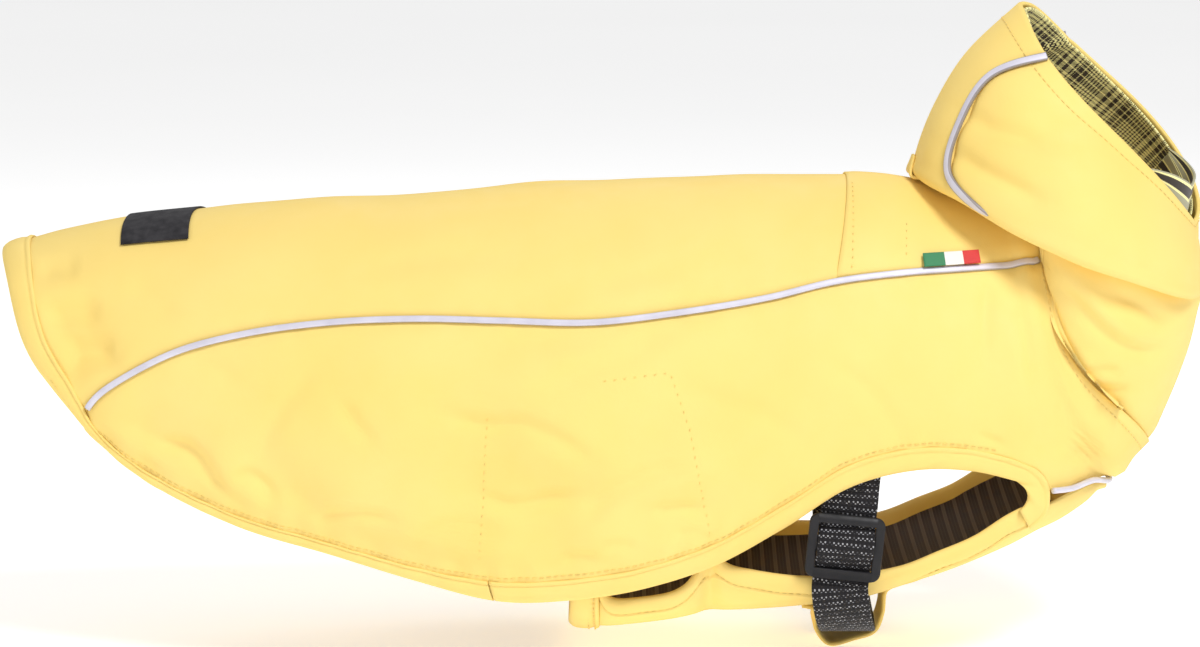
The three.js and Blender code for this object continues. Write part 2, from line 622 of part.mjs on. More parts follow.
function chestStrap() {
  const { x, y, z, tilt } = SLIDER_PLACE;
  const weave = STRAP_WEAVE.map(({ down, out }) => [x - down * sine(tilt), y - out, z - down * cosine(tilt)]);
  const points = [...STRAP_TOP, ...weave, ...STRAP_REST].map((place) => new THREE.Vector3(...place));
  return sweep(flatStations(points, new THREE.Vector3(1, 0, 0)), flat(WEBBING_WIDTH, WEBBING_CLOTH));
}

function beltLoop() {
  const points = BELT_LOOP.map(([x, z]) => new THREE.Vector3(x, 0, z));
  return sweep(flatStations(points, new THREE.Vector3(0, 1, 0)), flat(2 * BELT_LOOP_HALF, CLOTH));
}

function box(left, bottom, right, top) {
  return new THREE.Path([[left, bottom], [left, top], [right, top], [right, bottom]].map(
    ([x, y]) => new THREE.Vector2(x, y)));
}

// Plain three-bar slider: an outer frame with rounded corners and two windows
function sliderBuckle() {
  const { width, height, thick, side, bar, corner, bevel } = SLIDER;
  const halfX = width / 2 - bevel;
  const halfY = height / 2 - bevel;
  const outline = new THREE.Shape();
  outline.moveTo(-halfX + corner, -halfY);
  outline.lineTo(halfX - corner, -halfY);
  outline.absarc(halfX - corner, -halfY + corner, corner, -Math.PI / 2, 0);
  outline.lineTo(halfX, halfY - corner);
  outline.absarc(halfX - corner, halfY - corner, corner, 0, Math.PI / 2);
  outline.lineTo(-halfX + corner, halfY);
  outline.absarc(-halfX + corner, halfY - corner, corner, Math.PI / 2, Math.PI);
  outline.lineTo(-halfX, -halfY + corner);
  outline.absarc(-halfX + corner, -halfY + corner, corner, Math.PI, Math.PI * 1.5);
  const windowX = width / 2 - side + bevel;
  const windowY = height / 2 - bar + bevel;
  const barY = bar / 2 - bevel;
  outline.holes.push(box(-windowX, barY, windowX, windowY), box(-windowX, -windowY, windowX, -barY));
  const geometry = new THREE.ExtrudeGeometry(outline, {
    depth: thick - 2 * bevel, bevelEnabled: true, bevelThickness: bevel, bevelSize: bevel, bevelSegments: 1,
    curveSegments: 4,
  });
  return geometry.translate(0, 0, -(thick - 2 * bevel) / 2);
}

const group = new THREE.Group();

function add(name, geometry, look) {
  const mesh = new THREE.Mesh(geometry, new THREE.MeshStandardMaterial(COLOURS[look]));
  mesh.name = name;
  group.add(mesh);
  return mesh;
}

add('back_panel', backPanel(), 'cloth');
add('shoulder_yoke', shoulderYoke(), 'cloth');
add('hem_band', hemBand(), 'cloth');
for (const [name, side] of [['right', 1], ['left', -1]]) {
  add(`side_panel_${name}`, sidePanel(side), 'cloth');
  add(`leg_band_${name}`, legBand(side), 'cloth');
  add(`back_piping_${name}`, bodyPiping(side), 'piping');
  add(`belly_edge_band_${name}`, bellyEdgeBand(side), 'cloth');
  add(`belly_side_band_${name}`, bellySideBand(side), 'cloth');
  add(`hood_side_${name}`, hoodSide(side), 'cloth');
  add(`hood_piping_${name}`, hoodPiping(side), 'piping');
}
add('chest_piping', chestPiping(), 'piping');
add('belly_panel', bellyPanel(), 'cloth');
add('belly_rear_band', bellyRearBand(), 'cloth');
add('belly_lining', bellyLining(), 'dark');
add('hood_crown', hoodCrown(), 'cloth');
add('hood_lining', hoodLining(), 'plaid');
add('throat_lining', throatLining(), 'plaid');
add('hood_tab', hoodTab(), 'cloth');
add('tail_label', tailLabel(), 'label');
add('flag_tab', flagTab(), 'flag');
add('chest_strap', chestStrap(), 'webbing');
add('belt_loop', beltLoop(), 'cloth');
const slider = add('slider_buckle', sliderBuckle(), 'plastic');
slider.rotation.set(Math.PI / 2, 0, 0);
slider.rotation.order = 'YXZ';
slider.rotation.y = degToRad(SLIDER_PLACE.tilt);
slider.position.set(SLIDER_PLACE.x, SLIDER_PLACE.y, SLIDER_PLACE.z);

export default group;
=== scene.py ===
"""Dog raincoat: worn, filled-out soft cloth on the packed model's frame. The tables are in millimetres."""

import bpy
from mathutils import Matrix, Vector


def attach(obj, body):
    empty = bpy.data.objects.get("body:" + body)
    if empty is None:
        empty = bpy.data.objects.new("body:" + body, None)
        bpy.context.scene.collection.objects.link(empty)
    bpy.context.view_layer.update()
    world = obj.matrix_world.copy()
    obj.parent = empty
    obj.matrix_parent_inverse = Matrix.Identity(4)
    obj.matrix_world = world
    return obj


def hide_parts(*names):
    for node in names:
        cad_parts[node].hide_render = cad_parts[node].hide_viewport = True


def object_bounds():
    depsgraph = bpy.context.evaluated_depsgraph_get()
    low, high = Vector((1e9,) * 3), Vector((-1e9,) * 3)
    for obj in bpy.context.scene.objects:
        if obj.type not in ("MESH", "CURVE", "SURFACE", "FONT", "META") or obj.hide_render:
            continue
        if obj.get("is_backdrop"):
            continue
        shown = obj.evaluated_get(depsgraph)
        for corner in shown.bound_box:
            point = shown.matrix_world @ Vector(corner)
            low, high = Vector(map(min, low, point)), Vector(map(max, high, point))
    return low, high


bl_info = {
    "name": "Dog Raincoat",
    "version": (1, 0, 0),
    "blender": (4, 5, 0),
    "location": "3D View > Sidebar > Raincoat",
    "description": "Builds a small dog's raincoat with hood, belly panel, piping, chest strap and stitching",
    "category": "Add Mesh",
}

import math

import bmesh
import bpy
import numpy as np
from bpy.props import FloatProperty, FloatVectorProperty, PointerProperty
from mathutils import Matrix, Vector

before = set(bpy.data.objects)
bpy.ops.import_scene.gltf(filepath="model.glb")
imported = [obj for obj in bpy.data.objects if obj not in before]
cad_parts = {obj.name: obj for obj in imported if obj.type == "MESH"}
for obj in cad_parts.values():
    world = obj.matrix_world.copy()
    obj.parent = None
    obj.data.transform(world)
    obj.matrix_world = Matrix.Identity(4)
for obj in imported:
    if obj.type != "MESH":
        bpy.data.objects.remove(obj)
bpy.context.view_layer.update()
MM = 0.001
STEP = 0.02
UV_NAME = "cloth_run"
SIDES = (("right", 1), ("left", -1))
SEAM_GAP = 0.3


# Tables


def table(names, rows):
    return {"names": names.split(), "rows": np.array(rows, float)}


# Body: from the tail's edge to the neck. The ridge is the middle of the back and the hem the lowest edge.
# wrap is the angle round from the ridge to the hem, seam the angle to the piping, tuck how far the lower half
# leans in, bow how far the section leaves the straight line from ridge to hem, band the hem binding's width.
BODY = table("ridge_x ridge_z hem_x hem_z half wrap tuck seam bow band", [
    (-356.2, -25.4, -320.9, -91.8, 40, 95, 0.4, 93, 5, 6),
    (-334.5, -18.6, -295.2, -111.4, 47, 112, 0.4, 80.1, 2, 4.5),
    (-306.5, -13.8, -259.9, -128.1, 53, 122, 0.4, 68.3, 0, 4.5),
    (-274.6, -10.5, -224.6, -138.2, 58, 129, 0.4, 62.2, 0, 5),
    (-238.7, -6.9, -191.4, -148, 62, 133, 0.4, 58.9, 0, 6),
    (-202.9, -4.5, -160.2, -155.5, 65, 135, 0.4, 57.7, 0, 8),
    (-167, -2.1, -132.9, -155.2, 67, 136, 0.4, 59.5, 0, 8.5),
    (-131.2, 0.3, -103.7, -150.5, 68, 135, 0.4, 61.8, 0, 8.5),
    (-95.4, 1.5, -74.7, -140.8, 68, 132, 0.4, 61.1, 0, 8.5),
    (-59.7, 3.1, -47.6, -125.5, 67, 126, 0.4, 59.9, 0, 8.5),
    (-31.8, 3.6, -22.6, -109.6, 66, 120, 0.4, 57.4, 0, 8.5),
    (-8, 2.4, 2.5, -103.2, 64, 118, 0.4, 55.2, 0, 8.5),
    (14, -2, 26.1, -104.3, 61, 119, 0.45, 51, 0, 8.5),
    (29.9, -4.8, 48.1, -110.8, 57, 123, 0.5, 47.6, 1, 8.5),
    (37.9, -6, 58.5, -114, 54, 130, 0.6, 46.8, 3, 8.5),
    (41.1, -6.4, 72.2, -112.9, 52, 150, 0.85, 48.3, 5.5, 8.5),
    (43.1, -6.8, 86.3, -116, 50, 180, 1, 48.5, 8, 8.5),
    (44.7, -7.2, 93.8, -109.4, 48, 180, 1, 48.6, 10, 8.5),
    (45.9, -7.6, 100.1, -102.5, 47, 180, 1, 48.9, 11.5, 8.5),
])
NECK_ROW = 18
NECK_STITCH_ROW = 17.45
CENTRE_FRONT_ROW = 16
CHEST_SEAM_ROW = 14
LEG_BAND_ROW = 5
LEG_TURN_ROW = 12.7
PIPING_ROWS = (0.6, 17.4)
YOKE_REAR_ROW = 10.42
YOKE_REAR_CURVE = 0.38
YOKE_FRONT_ROW = 17.9
YOKE_SQUARE_ROW = 11
YOKE_LIFT = 1.5
YOKE_EDGE_DROP = 0.25
YOKE_SEAM_GAP = 0.8
YOKE_CLOTH = 1.1
PIPING_LIFT = 0.75
CHEST_PIPING_LIFT = 3.2
# Distance in mm from the piping's middle at which its painted seam shade begins
PIPING_SHADE_FROM = 1.12
SEAM_DIP = 0.9
SEAM_DIP_WIDE = 2.2

# Belly panel: from the tip at the chest to the rear end. Each section is a trough. Row 13 is the tab's top.
BELLY = table("edge_x edge_z half depth centre_x", [
    (82, -118.2, 9, 2.6, 82.8),
    (77, -116.6, 18, 4.9, 78.8),
    (69.9, -114.4, 33, 11.2, 73.6),
    (58.7, -116, 45, 16, 64),
    (49, -119.9, 49, 17.2, 54),
    (39.1, -124.6, 51, 18.8, 43.2),
    (27, -132.4, 52, 16.2, 30.1),
    (13.3, -138.2, 53, 14.9, 16.2),
    (-2.2, -144.5, 53, 12.6, 0.3),
    (-21.7, -147.7, 53, 15.4, -19.5),
    (-41.2, -147.9, 54, 19.1, -39.5),
    (-58.8, -145.5, 54, 23.8, -57.4),
    (-70.6, -141.7, 55, 28.5, -69.4),
    (-76.9, -131, 56.5, 39.8, -75.8),
    (-82.5, -146, 56, 25.2, -81.6),
    (-90, -153.3, 55, 18.7, -89.4),
    (-103.7, -156.1, 55, 17.4, -103.3),
    (-114.6, -156.1, 55, 18.7, -114.5),
    (-119.3, -150.5, 55, 25.2, -119.3),
    (-124, -146.5, 55, 29.4, -124.1),
    (-129.3, -146.7, 54, 28.4, -131),
])
BELLY_REAR_ROW = 20
BELLY_TAB_ROW = 13
BELLY_TURN_ROW = 4.75
BELLY_BAND_ROW = 17.9
BELLY_EDGE_TURN = 90
BELLY_BAND_TURN = 85
TAB_MITRE = 19
LEG_BAND_WIDTH = 8.5
SIDE_BAND_WIDTH = 7
BELLY_BAND_TUCK = 0.4
BELLY_LINING_DEPTH = 2.3
BELLY_WAVE = 0.7

# Hood: rings from the neck seam up to the rim. Ring 3 is the fold that hangs over the neck.
HOOD = table("back_x back_z front_x front_z half bow lead seam", [
    (47.6, -2.7, 101.2, -101.2, 47, 11.9, 1, 56),
    (40.4, -1.9, 113.8, -67.5, 49, 8.7, 1, 56),
    (33.9, -0.6, 118.1, -48.8, 50, -2.9, 1, 56),
    (7.6, 4, 119.6, -41.5, 58, -0.8, 1, 56),
    (6.7, 11.9, 119.4, -33.5, 60, -2.4, 1, 35),
    (13.6, 31.4, 118.8, -26.2, 57, -0.8, 0.8, 31),
    (26.3, 52.5, 117.9, -20.6, 50, 3, 0.6, 33),
    (46.6, 71.9, 116.6, -15, 38, 6, 0.5, 49),
])
FOLD_RING = 3
RIM_RING = 7
LINING_RING = 3.9
THROAT_RING = 6.4
FAR_LEAN = (19, 4.4)
HOOD_SEAM_GAP = 0.6
HOOD_FOOT_RING = -0.3
HOOD_FOOT_DEPTH = {"back": 0.9, "side": 2.6}
FOOT_SHORT = 0.9
# The fold's edge stands out by the lip and hangs by the overhang. Below it the cloth is drawn in by a share.
FOLD_LIP = 1.4
OVERHANG = 2.6
UNDERCUT = 0.17
LINING_DEPTH = 2.8
LINING_EDGE_DEPTH = 1.8
THROAT_DEPTH = 4.7

# Turn round the front of a leg hole
LEG_TURN_CENTRE = (41.6, -117)
LEG_TURN_RADIUS = 7
LEG_TURN = table("turn edge_y inner_y", [
    (60, 56, 55.6), (30, 55, 52.4), (0, 53.8, 50.4), (-30, 53.8, 48.4), (-60, 54.2, 47.6)])
LEG_TURN_SINK = 2.0

# Small gathers beside the bands' stitches, and the drawing-in of the tail band's corner, in stations
BAND_PUCKER = 0.13
TURN_PUCKER = 0.5
HEM_PUCKER = 0.32
CORNER = {"station": 41, "reach": 9, "rounds": 30}

# Striped lining at the throat: how far it stands above the rim, round from the back of the hood
THROAT_LIP = table("turn rise", [
    (108, 0.5), (116, 3.6), (126, 8), (138, 12), (152, 14.6), (166, 15.6), (180, 15), (195, 14), (210, 11),
    (225, 7), (240, 2)])
LIP_LEAN = 0.22

# Main folds, as in the solids: a soft ridge, or a trough where height is below zero, along each line
BODY_FOLDS = table("from_x from_z to_x to_z wide height", [
    (-333, -52, -322, -50, 7, -2.5),
    (-324, -70, -312, -66, 7, -3),
    (-296, -92, -274, -98, 9, -3),
    (-268, -101, -258, -117, 8, 3),
    (-252, -104, -240, -116, 8, -3),
    (-212, -119, -196, -118, 9, 2.2),
    (-180, -83, -146, -84, 9, -2.4),
    (-141, -88, -118, -101, 9, 2.4),
    (-166, -114, -126, -112, 9, -3),
    (-120, -124, -86, -103, 9, 3.2),
    (-102, -118, -80, -116, 8, -2.4),
    (-142, -69, -98, -50, 12, 2),
    (-190, -130, -160, -131, 8, 2),
    (32, -34, 29, -62, 8, -1.6),
    (44, -50, 45, -80, 7, 2),
    (64, -84, 60, -102, 7, -2),
])
HOOD_FOLDS = table("from_x from_z to_x to_z wide height", [
    (24, 33, 50, 25, 7, -2.2),
    (18, 18, 48, 4, 7, -2),
    (62, -32, 84, -54, 6, 2.4),
    (80, -38, 100, -52, 5, -2),
    (72, -68, 84, -68, 5, 1.8),
])
FAR_FOLDS = {"x": 9, "z": -5, "share": 0.85}
CREASE_STATIONS = 13

# Fine creases: wide, height, step across it (the lower side drops where it is above zero), then X, Z points
BODY_CREASES = [
    (4.5, -1.8, -0.8, [(-340, -33), (-332.8, -30.7), (-323, -30.2)]),
    (5.5, -2.4, -1.2, [(-338, -49), (-326.6, -46.5), (-313, -44)]),
    (4.0, -0.7, 0.5, [(-333, -52), (-328, -55), (-322, -54)]),
    (6.0, -3.0, -1.3, [(-330, -63.5), (-318.9, -60.7), (-308, -62)]),
    (4.0, -1.0, -0.8, [(-311, -61), (-309, -67), (-310.5, -73)]),
    (3.4, -1.2, 1.0, [(-317, -93), (-310.8, -96.7), (-306, -101)]),
    (4.4, -1.9, 2.0, [
        (-295, -95.5), (-283.7, -94.7), (-277.2, -97.2), (-270, -105), (-267, -110), (-263, -120)]),
    (3.8, -1.6, 1.7, [(-265, -107.8), (-256.5, -105.8), (-251.5, -108.5), (-247.5, -113), (-244, -121)]),
    (3.0, -1.1, 1.0, [(-288, -113), (-281.8, -115.5), (-277, -119)]),
    (3.0, -1.1, 0.9, [(-276, -116), (-270.5, -118.5), (-265, -123)]),
    (3.4, -1.3, 1.7, [(-233, -124.5), (-222, -120), (-206, -119.5), (-196, -123)]),
    (4.2, -0.9, 1.2, [(-219, -75), (-212, -85), (-205, -93)]),
    (4.6, -1.6, 2.1, [(-183, -78.5), (-165, -83.5), (-150, -82.5), (-133, -89), (-117.5, -99.5)]),
    (4.2, -1.6, 1.8, [(-168, -111.8), (-153, -116.4), (-138, -113), (-123, -112)]),
    (4.2, -1.6, -1.7, [(-127, -125), (-114, -112), (-100, -104.5), (-80, -100)]),
    (3.4, -1.0, 1.3, [(-100, -117.6), (-90, -116.2), (-78, -116.5)]),
    (3.0, -1.1, -1.2, [(-194, -133), (-183, -126.5), (-170, -125.8), (-155, -129.5)]),
    (2.8, -1.0, 0.9, [(-92, -128), (-84, -127), (-76, -129)]),
    (3.0, -0.9, 0.7, [(-120, -133), (-112, -131), (-104, -133)]),
    (3.0, -0.9, 0.9, [(-136, -138), (-128, -135.5), (-119, -137)]),
    (2.6, -1.0, 0.9, [(26, -88), (31, -91), (37.5, -93.5)]),
    (2.6, -1.1, 1.2, [(56, -114), (65.9, -101.6), (74, -94)]),
    (3.4, -0.8, 1.0, [(33, -28), (31.5, -44), (30, -62)]),
    (3.2, -0.9, -1.1, [(43.8, -44), (45.2, -58), (45.3, -74)]),
    (6.0, -0.8, 1.3, [(-146, -70), (-125, -62), (-108, -55), (-90, -46)]),
    (4.4, -0.8, 0.9, [(-228, -66), (-240, -80), (-246, -90), (-251, -100)]),
    (5.4, -0.7, 0.8, [(-96, -68), (-74, -73), (-54, -80), (-36, -93)]),
    (4.6, -0.7, 0.8, [(-34, -58), (-20, -66), (-10, -76), (-3, -90)]),
    (5.0, -0.7, 0.8, [(-286, -58), (-270, -62), (-256, -70)]),
    (6.0, -0.7, 0.7, [(-126, -33), (-106, -28), (-86, -26)]),
    (5.6, -0.7, 0.8, [(-304, -32), (-292, -38), (-282, -47)]),
    (5.2, -0.7, -0.7, [(-216, -31), (-190, -26), (-168, -25), (-146, -28)]),
]
HOOD_CREASES = [
    (4.6, -1.5, 1.8, [(22, 34), (30, 29.5), (40, 27.4), (53, 24.5)]),
    (4.6, -1.6, 2.0, [(15.5, 20), (23.5, 15), (36.3, 9), (53, 2)]),
    (4.0, -1.8, 2.4, [(58, -28), (66, -38), (74, -47), (84.1, -55), (97, -60), (106, -57)]),
    (3.6, -1.3, -1.4, [(78, -38), (88, -42), (97, -48), (104, -54)]),
    (3.0, -1.1, 1.3, [(68, -67), (76, -66), (84, -66.5)]),
    (2.8, -0.9, 1.1, [(75, -72), (81, -74), (88, -74.6)]),
    (2.6, -0.8, 0.9, [(83, -79), (86, -83), (88.5, -88)]),
    (5.0, -0.6, 0.8, [(58, 46), (74, 32), (84, 20), (94, 8)]),
]
# Long soft waves that keep a filled cloth from looking turned: X and Z waves a millimetre, phase, height
WAVES = [
    (0.0061, 0.0108, 0.4, 0.42),
    (0.0127, -0.0071, 1.9, 0.3),
    (0.0043, 0.0207, 3.1, 0.24),
    (0.0236, 0.0131, 5.0, 0.13),
    (-0.0188, 0.0263, 0.9, 0.11),
]

# Strap from the right side panel down to the slider, through it, then round under the belly
SLIDER_CORNER = 3.6
SLIDER_SOFT = 0.55
WEBBING_DOT = 1.7
WEBBING_ROW = 2.55
SLIDER_PLACE = {"x": -24.2, "y": -61, "z": -134.2, "tilt": 6}
STRAP_TOP = [(-20.6, -61.9, -88), (-20.9, -61, -96), (-21.4, -60, -104), (-22, -59.4, -111)]
STRAP_WEAVE = [
    (-17, -1.8), (-13.4, -2.4), (-9, -2.4), (-5.5, -0.1), (-1.9, 2.3), (1.9, 2.3), (5.5, -0.1), (9, -2.4),
    (13.4, -2.4), (17, -1.8),
]
STRAP_REST = [
    (-25.2, -57.5, -158), (-23.8, -52, -165), (-22.2, -43, -170.5), (-21, -30, -173.8), (-20.2, -14, -175),
    (-19.6, 0, -175.2), (-19.4, 14, -175), (-19.2, 30, -173.5), (-19, 43, -169.5), (-19, 51.5, -163),
    (-19.2, 56.5, -154), (-19.6, 58.6, -143), (-20, 59.6, -130), (-20.4, 59.2, -112), (-20.6, 60, -104),
    (-20.7, 61, -96), (-20.8, 61.9, -88),
]
BELT_LOOP_HALF = 12
BELT_LOOP = [
    (-38, -169), (-33.6, -170.2), (-32.6, -174), (-32.4, -178.6), (-27, -184.6), (-17, -182.4), (-9, -179.4),
    (-5.8, -172), (-4.8, -163.4), (-0.6, -160.4),
]
# Patch at the tail and woven ribbon: rows of the body, size, and height over the body's form
LABEL = {"rear": 2.0, "front": 2.84, "turn": 26, "thick": 0.9, "lift": 1.6, "slant": 0.12}
FLAG = {"rear": 11.46, "front": 12.58, "height": 5, "thick": 0.7, "lift": 3.1, "seam_gap": 0.9}
# Tab at the nape, from the yoke up to the hood: X, Z and half its width
HOOD_TAB_LINE = [(8.4, 4.0, 9), (5.6, 4.3, 9), (3.8, 5, 8.5), (3.7, 6.6, 7.5), (4.4, 9, 5), (5.4, 12.2, 3)]
HOOD_TAB_THICK = 1.2
TAB_SAG = 0.06

# Rows of stitches on the side panel and yoke, as X and Z points on the right side
PATCH_STITCHES = [
    [(-162.8, -81.3), (-165.9, -139.4)],
    [(-119.3, -68.2), (-92.4, -64.5)],
    [(-92.4, -64.5), (-84.7, -86.8), (-80.7, -108.5), (-76.3, -129.1)],
]
YOKE_STITCHES = [
    [(-20.0, 1.3), (-22.1, -27.2)],
    [(-0.5, -11.2), (-1.2, -23.2)],
]

# Where the rows of stitches run, and how high they lie over the cloth or its form
HEM_STITCH_ROWS = (0.5, 12.4)
HEM_STITCH_GAP = 1.4
TAIL_STITCH_ROW = 0.215
RIM_STITCH_RING = 6.62
REAR_STITCH_ROWS = (18.4, 18.9)
BAND_STITCH_SHARE = 0.79
BELLY_STITCHES = ((BELLY_TURN_ROW, 12.6, LEG_BAND_WIDTH), (13.4, BELLY_BAND_ROW, SIDE_BAND_WIDTH))
STITCH_LIFT = {"cloth": 0.95, "tail_band": 1.75, "yoke": YOKE_LIFT + 0.7, "belly_band": 1.6, "rear_band": 2.3}
SEARCH_ROUNDS = 12

# Camera and stage: the floor's half size in metres, its glow and the world's light
CAMERA = {"elevation": 9, "lens": 120, "sensor": 36, "distance": 1600, "target": (-119.3, 0, -55.9)}
FLOOR_HALF = 7
FLOOR_GLOW = 0.5
WORLD_LIGHT = 0.42


# Surfaces


def smooth(value, low, high):
    share = np.clip((value - low) / (high - low), 0, 1)
    return share * share * (3 - 2 * share)


def row_at(rows, place):
    """Every column of a table at places between its rows, on a smooth line through them."""
    values, place = rows["rows"], np.asarray(place, float)
    last = len(values) - 1
    index = np.clip(np.floor(place), 0, last - 1).astype(int)
    before, start, end, after = (values[np.clip(index + step, 0, last)] for step in (-1, 0, 1, 2))
    share = (place - index)[..., None]
    slope_start, slope_end = (end - before) / 2, (after - start) / 2
    cubic = 2 * start - 2 * end + slope_start + slope_end
    square = 3 * (end - start) - 2 * slope_start - slope_end
    found = ((cubic * share + square) * share + slope_start) * share + start
    return {name: found[..., column] for column, name in enumerate(rows["names"])}


def unit(vectors):
    return vectors / np.maximum(np.linalg.norm(vectors, axis=-1, keepdims=True), 1e-9)


class Skin:
    """A surface of cloth with an outer side: a point at any row u and turn v."""

    def __init__(self, point, facing=-1):
        self.point, self.facing = point, facing

    def out(self, u, v):
        along_u = self.point(u + STEP, v) - self.point(u - STEP, v)
        along_v = self.point(u, v + STEP) - self.point(u, v - STEP)
        return unit(np.cross(along_u, along_v)) * self.facing

    def lifted(self, height):
        return Skin(lambda u, v: self.point(u, v) + self.out(u, v) * height, self.facing)


def bowed_line(start_x, start_z, end_x, end_z, bow, share, lead=1):
    """A line from one end to the other, bowed halfway, or nearer to its start where lead is under 1."""
    run_x, run_z = end_x - start_x, end_z - start_z
    push = bow * np.sin(np.pi * np.clip(share, 0, 1) ** lead) ** 2 / np.hypot(run_x, run_z)
    return start_x + run_x * share + push * run_z, start_z + run_z * share - push * run_x


def near_side(point):
    """X and Z of points as on the right side. The far side's folds are moved and softer."""
    far = point[..., 1] > 0
    x = np.where(far, point[..., 0] - FAR_FOLDS["x"], point[..., 0])
    z = np.where(far, point[..., 2] - FAR_FOLDS["z"], point[..., 2])
    return x, z, np.where(far, FAR_FOLDS["share"], 1)


def from_line(x, z, start, end):
    """Distance from a line between two points, the side of it that a place is on, and the share along it."""
    run_x, run_z = end[0] - start[0], end[1] - start[1]
    share = np.clip(((x - start[0]) * run_x + (z - start[1]) * run_z) / (run_x**2 + run_z**2), 0, 1)
    away_x, away_z = x - start[0] - share * run_x, z - start[1] - share * run_z
    return np.hypot(away_x, away_z), np.sign(run_x * away_z - run_z * away_x), share


def fold_height(folds, point):
    x, z, strength = near_side(point)
    height = np.zeros(x.shape)
    for from_x, from_z, to_x, to_z, wide, rise in folds["rows"]:
        away = from_line(x, z, (from_x, from_z), (to_x, to_z))[0]
        height += rise * np.exp(-(away**2) / (2 * wide**2))
    return height * strength


def crease_height(creases, point):
    """Height of the creases: each runs on a smooth line, deepest halfway along, and fades at both ends."""
    x, z, strength = near_side(point)
    height = np.zeros(x.shape)
    for wide, rise, step, line in creases:
        low, high = np.min(line, 0) - 3 * wide, np.max(line, 0) + 3 * wide
        near = (x > low[0]) & (x < high[0]) & (z > low[1]) & (z < high[1])
        nearest = np.full(int(near.sum()), np.inf)
        side, along = np.zeros(nearest.shape), np.zeros(nearest.shape)
        path = smooth_path(line, CREASE_STATIONS)
        for index, (start, end) in enumerate(zip(path[:-1], path[1:])):
            away, which, share = from_line(x[near], z[near], start, end)
            side = np.where(away < nearest, which, side)
            along = np.where(away < nearest, (index + share) / (CREASE_STATIONS - 1), along)
            nearest = np.minimum(away, nearest)
        fade = smooth(along, -0.08, 0.3) * smooth(1 - along, -0.08, 0.3)
        share = nearest / wide
        height[near] += fade * (rise + step * side * share) * np.exp(-(share**2))
    return height * strength


def wave_height(point):
    x, z, _ = near_side(point)
    return sum(rise * np.sin(2 * np.pi * (x * wave_x + z * wave_z) + phase)
               for wave_x, wave_z, phase, rise in WAVES)


def body_form_point(u, v):
    row, turn = row_at(BODY, u), np.abs(v)
    share = (1 - np.cos(np.radians(turn))) / (1 - np.cos(np.radians(row["wrap"])))
    x, z = bowed_line(row["ridge_x"], row["ridge_z"], row["hem_x"], row["hem_z"], row["bow"], share)
    sine = np.sin(np.radians(turn))
    reach = np.where(turn < 90, sine, 1 - row["tuck"] * (1 - sine))
    return np.stack([x, -np.sign(v) * row["half"] * reach, z], -1)


body_form = Skin(body_form_point)


def pucker(along, away, wide, height):
    """Small uneven gathers beside a row of stitches."""
    waves = np.sin(along / 2.3 + 1.7 * np.sin(along / 13))
    waves = waves + 0.7 * np.sin(along / 3.9 + 2 * np.sin(along / 21))
    return height * waves * np.exp(-((away / wide) ** 2))


def body_point(u, v):
    row, turn = row_at(BODY, u), np.abs(v)
    point = body_form.point(u, v)
    from_seam = np.abs(np.radians(turn - row["seam"])) * row["half"]
    from_hem = np.radians(row["wrap"] - turn) * row["half"]
    calm = smooth(from_seam, 2, 12) * smooth(from_hem, 9, 20) * smooth(u, 0.3, 0.8)
    near = smooth(from_seam, 1, 6) * smooth(from_hem, 7, 14) * smooth(u, 0.2, 0.6)
    height = calm * fold_height(BODY_FOLDS, point)
    height += near * (crease_height(BODY_CREASES, point) + wave_height(point))
    height -= SEAM_DIP * np.exp(-((from_seam / SEAM_DIP_WIDE) ** 2))
    height += pucker(point[..., 0], from_seam - 3, 3, 0.1)
    height += pucker(point[..., 0], from_hem - row["band"] - 3, 4.5, HEM_PUCKER)
    return point + body_form.out(u, v) * height[..., None]


body = Skin(body_point)


def belly_point(u, v):
    row = row_at(BELLY, u)
    cosine = np.cos(np.radians(v))
    x = row["edge_x"] + (row["centre_x"] - row["edge_x"]) * cosine
    return np.stack([x, -row["half"] * np.sin(np.radians(v)), row["edge_z"] - row["depth"] * cosine], -1)


belly_form = Skin(belly_point)


def belly_soft_point(u, v):
    point = belly_form.point(u, v)
    calm = smooth(BELLY_EDGE_TURN - np.abs(v), 8, 30)
    ripple = 0.5 * np.sin(point[..., 0] / 9) * np.cos(point[..., 1] / 17)
    height = BELLY_WAVE * calm * (wave_height(point) + ripple)
    return point + belly_form.out(u, v) * height[..., None]


belly = Skin(belly_soft_point)


def hood_form_point(u, v):
    row = row_at(HOOD, u)
    share = (1 - np.cos(np.radians(v))) / 2
    back, front = (row["back_x"], row["back_z"]), (row["front_x"], row["front_z"])
    x, z = bowed_line(*back, *front, row["bow"], share, row["lead"])
    lean = np.maximum(0, -np.sin(np.radians(v))) * smooth(u, FOLD_RING, RIM_RING)
    y = -row["half"] * np.sin(np.radians(v))
    return np.stack([x + FAR_LEAN[0] * lean, y, z + FAR_LEAN[1] * lean], -1)


hood_form = Skin(hood_form_point)


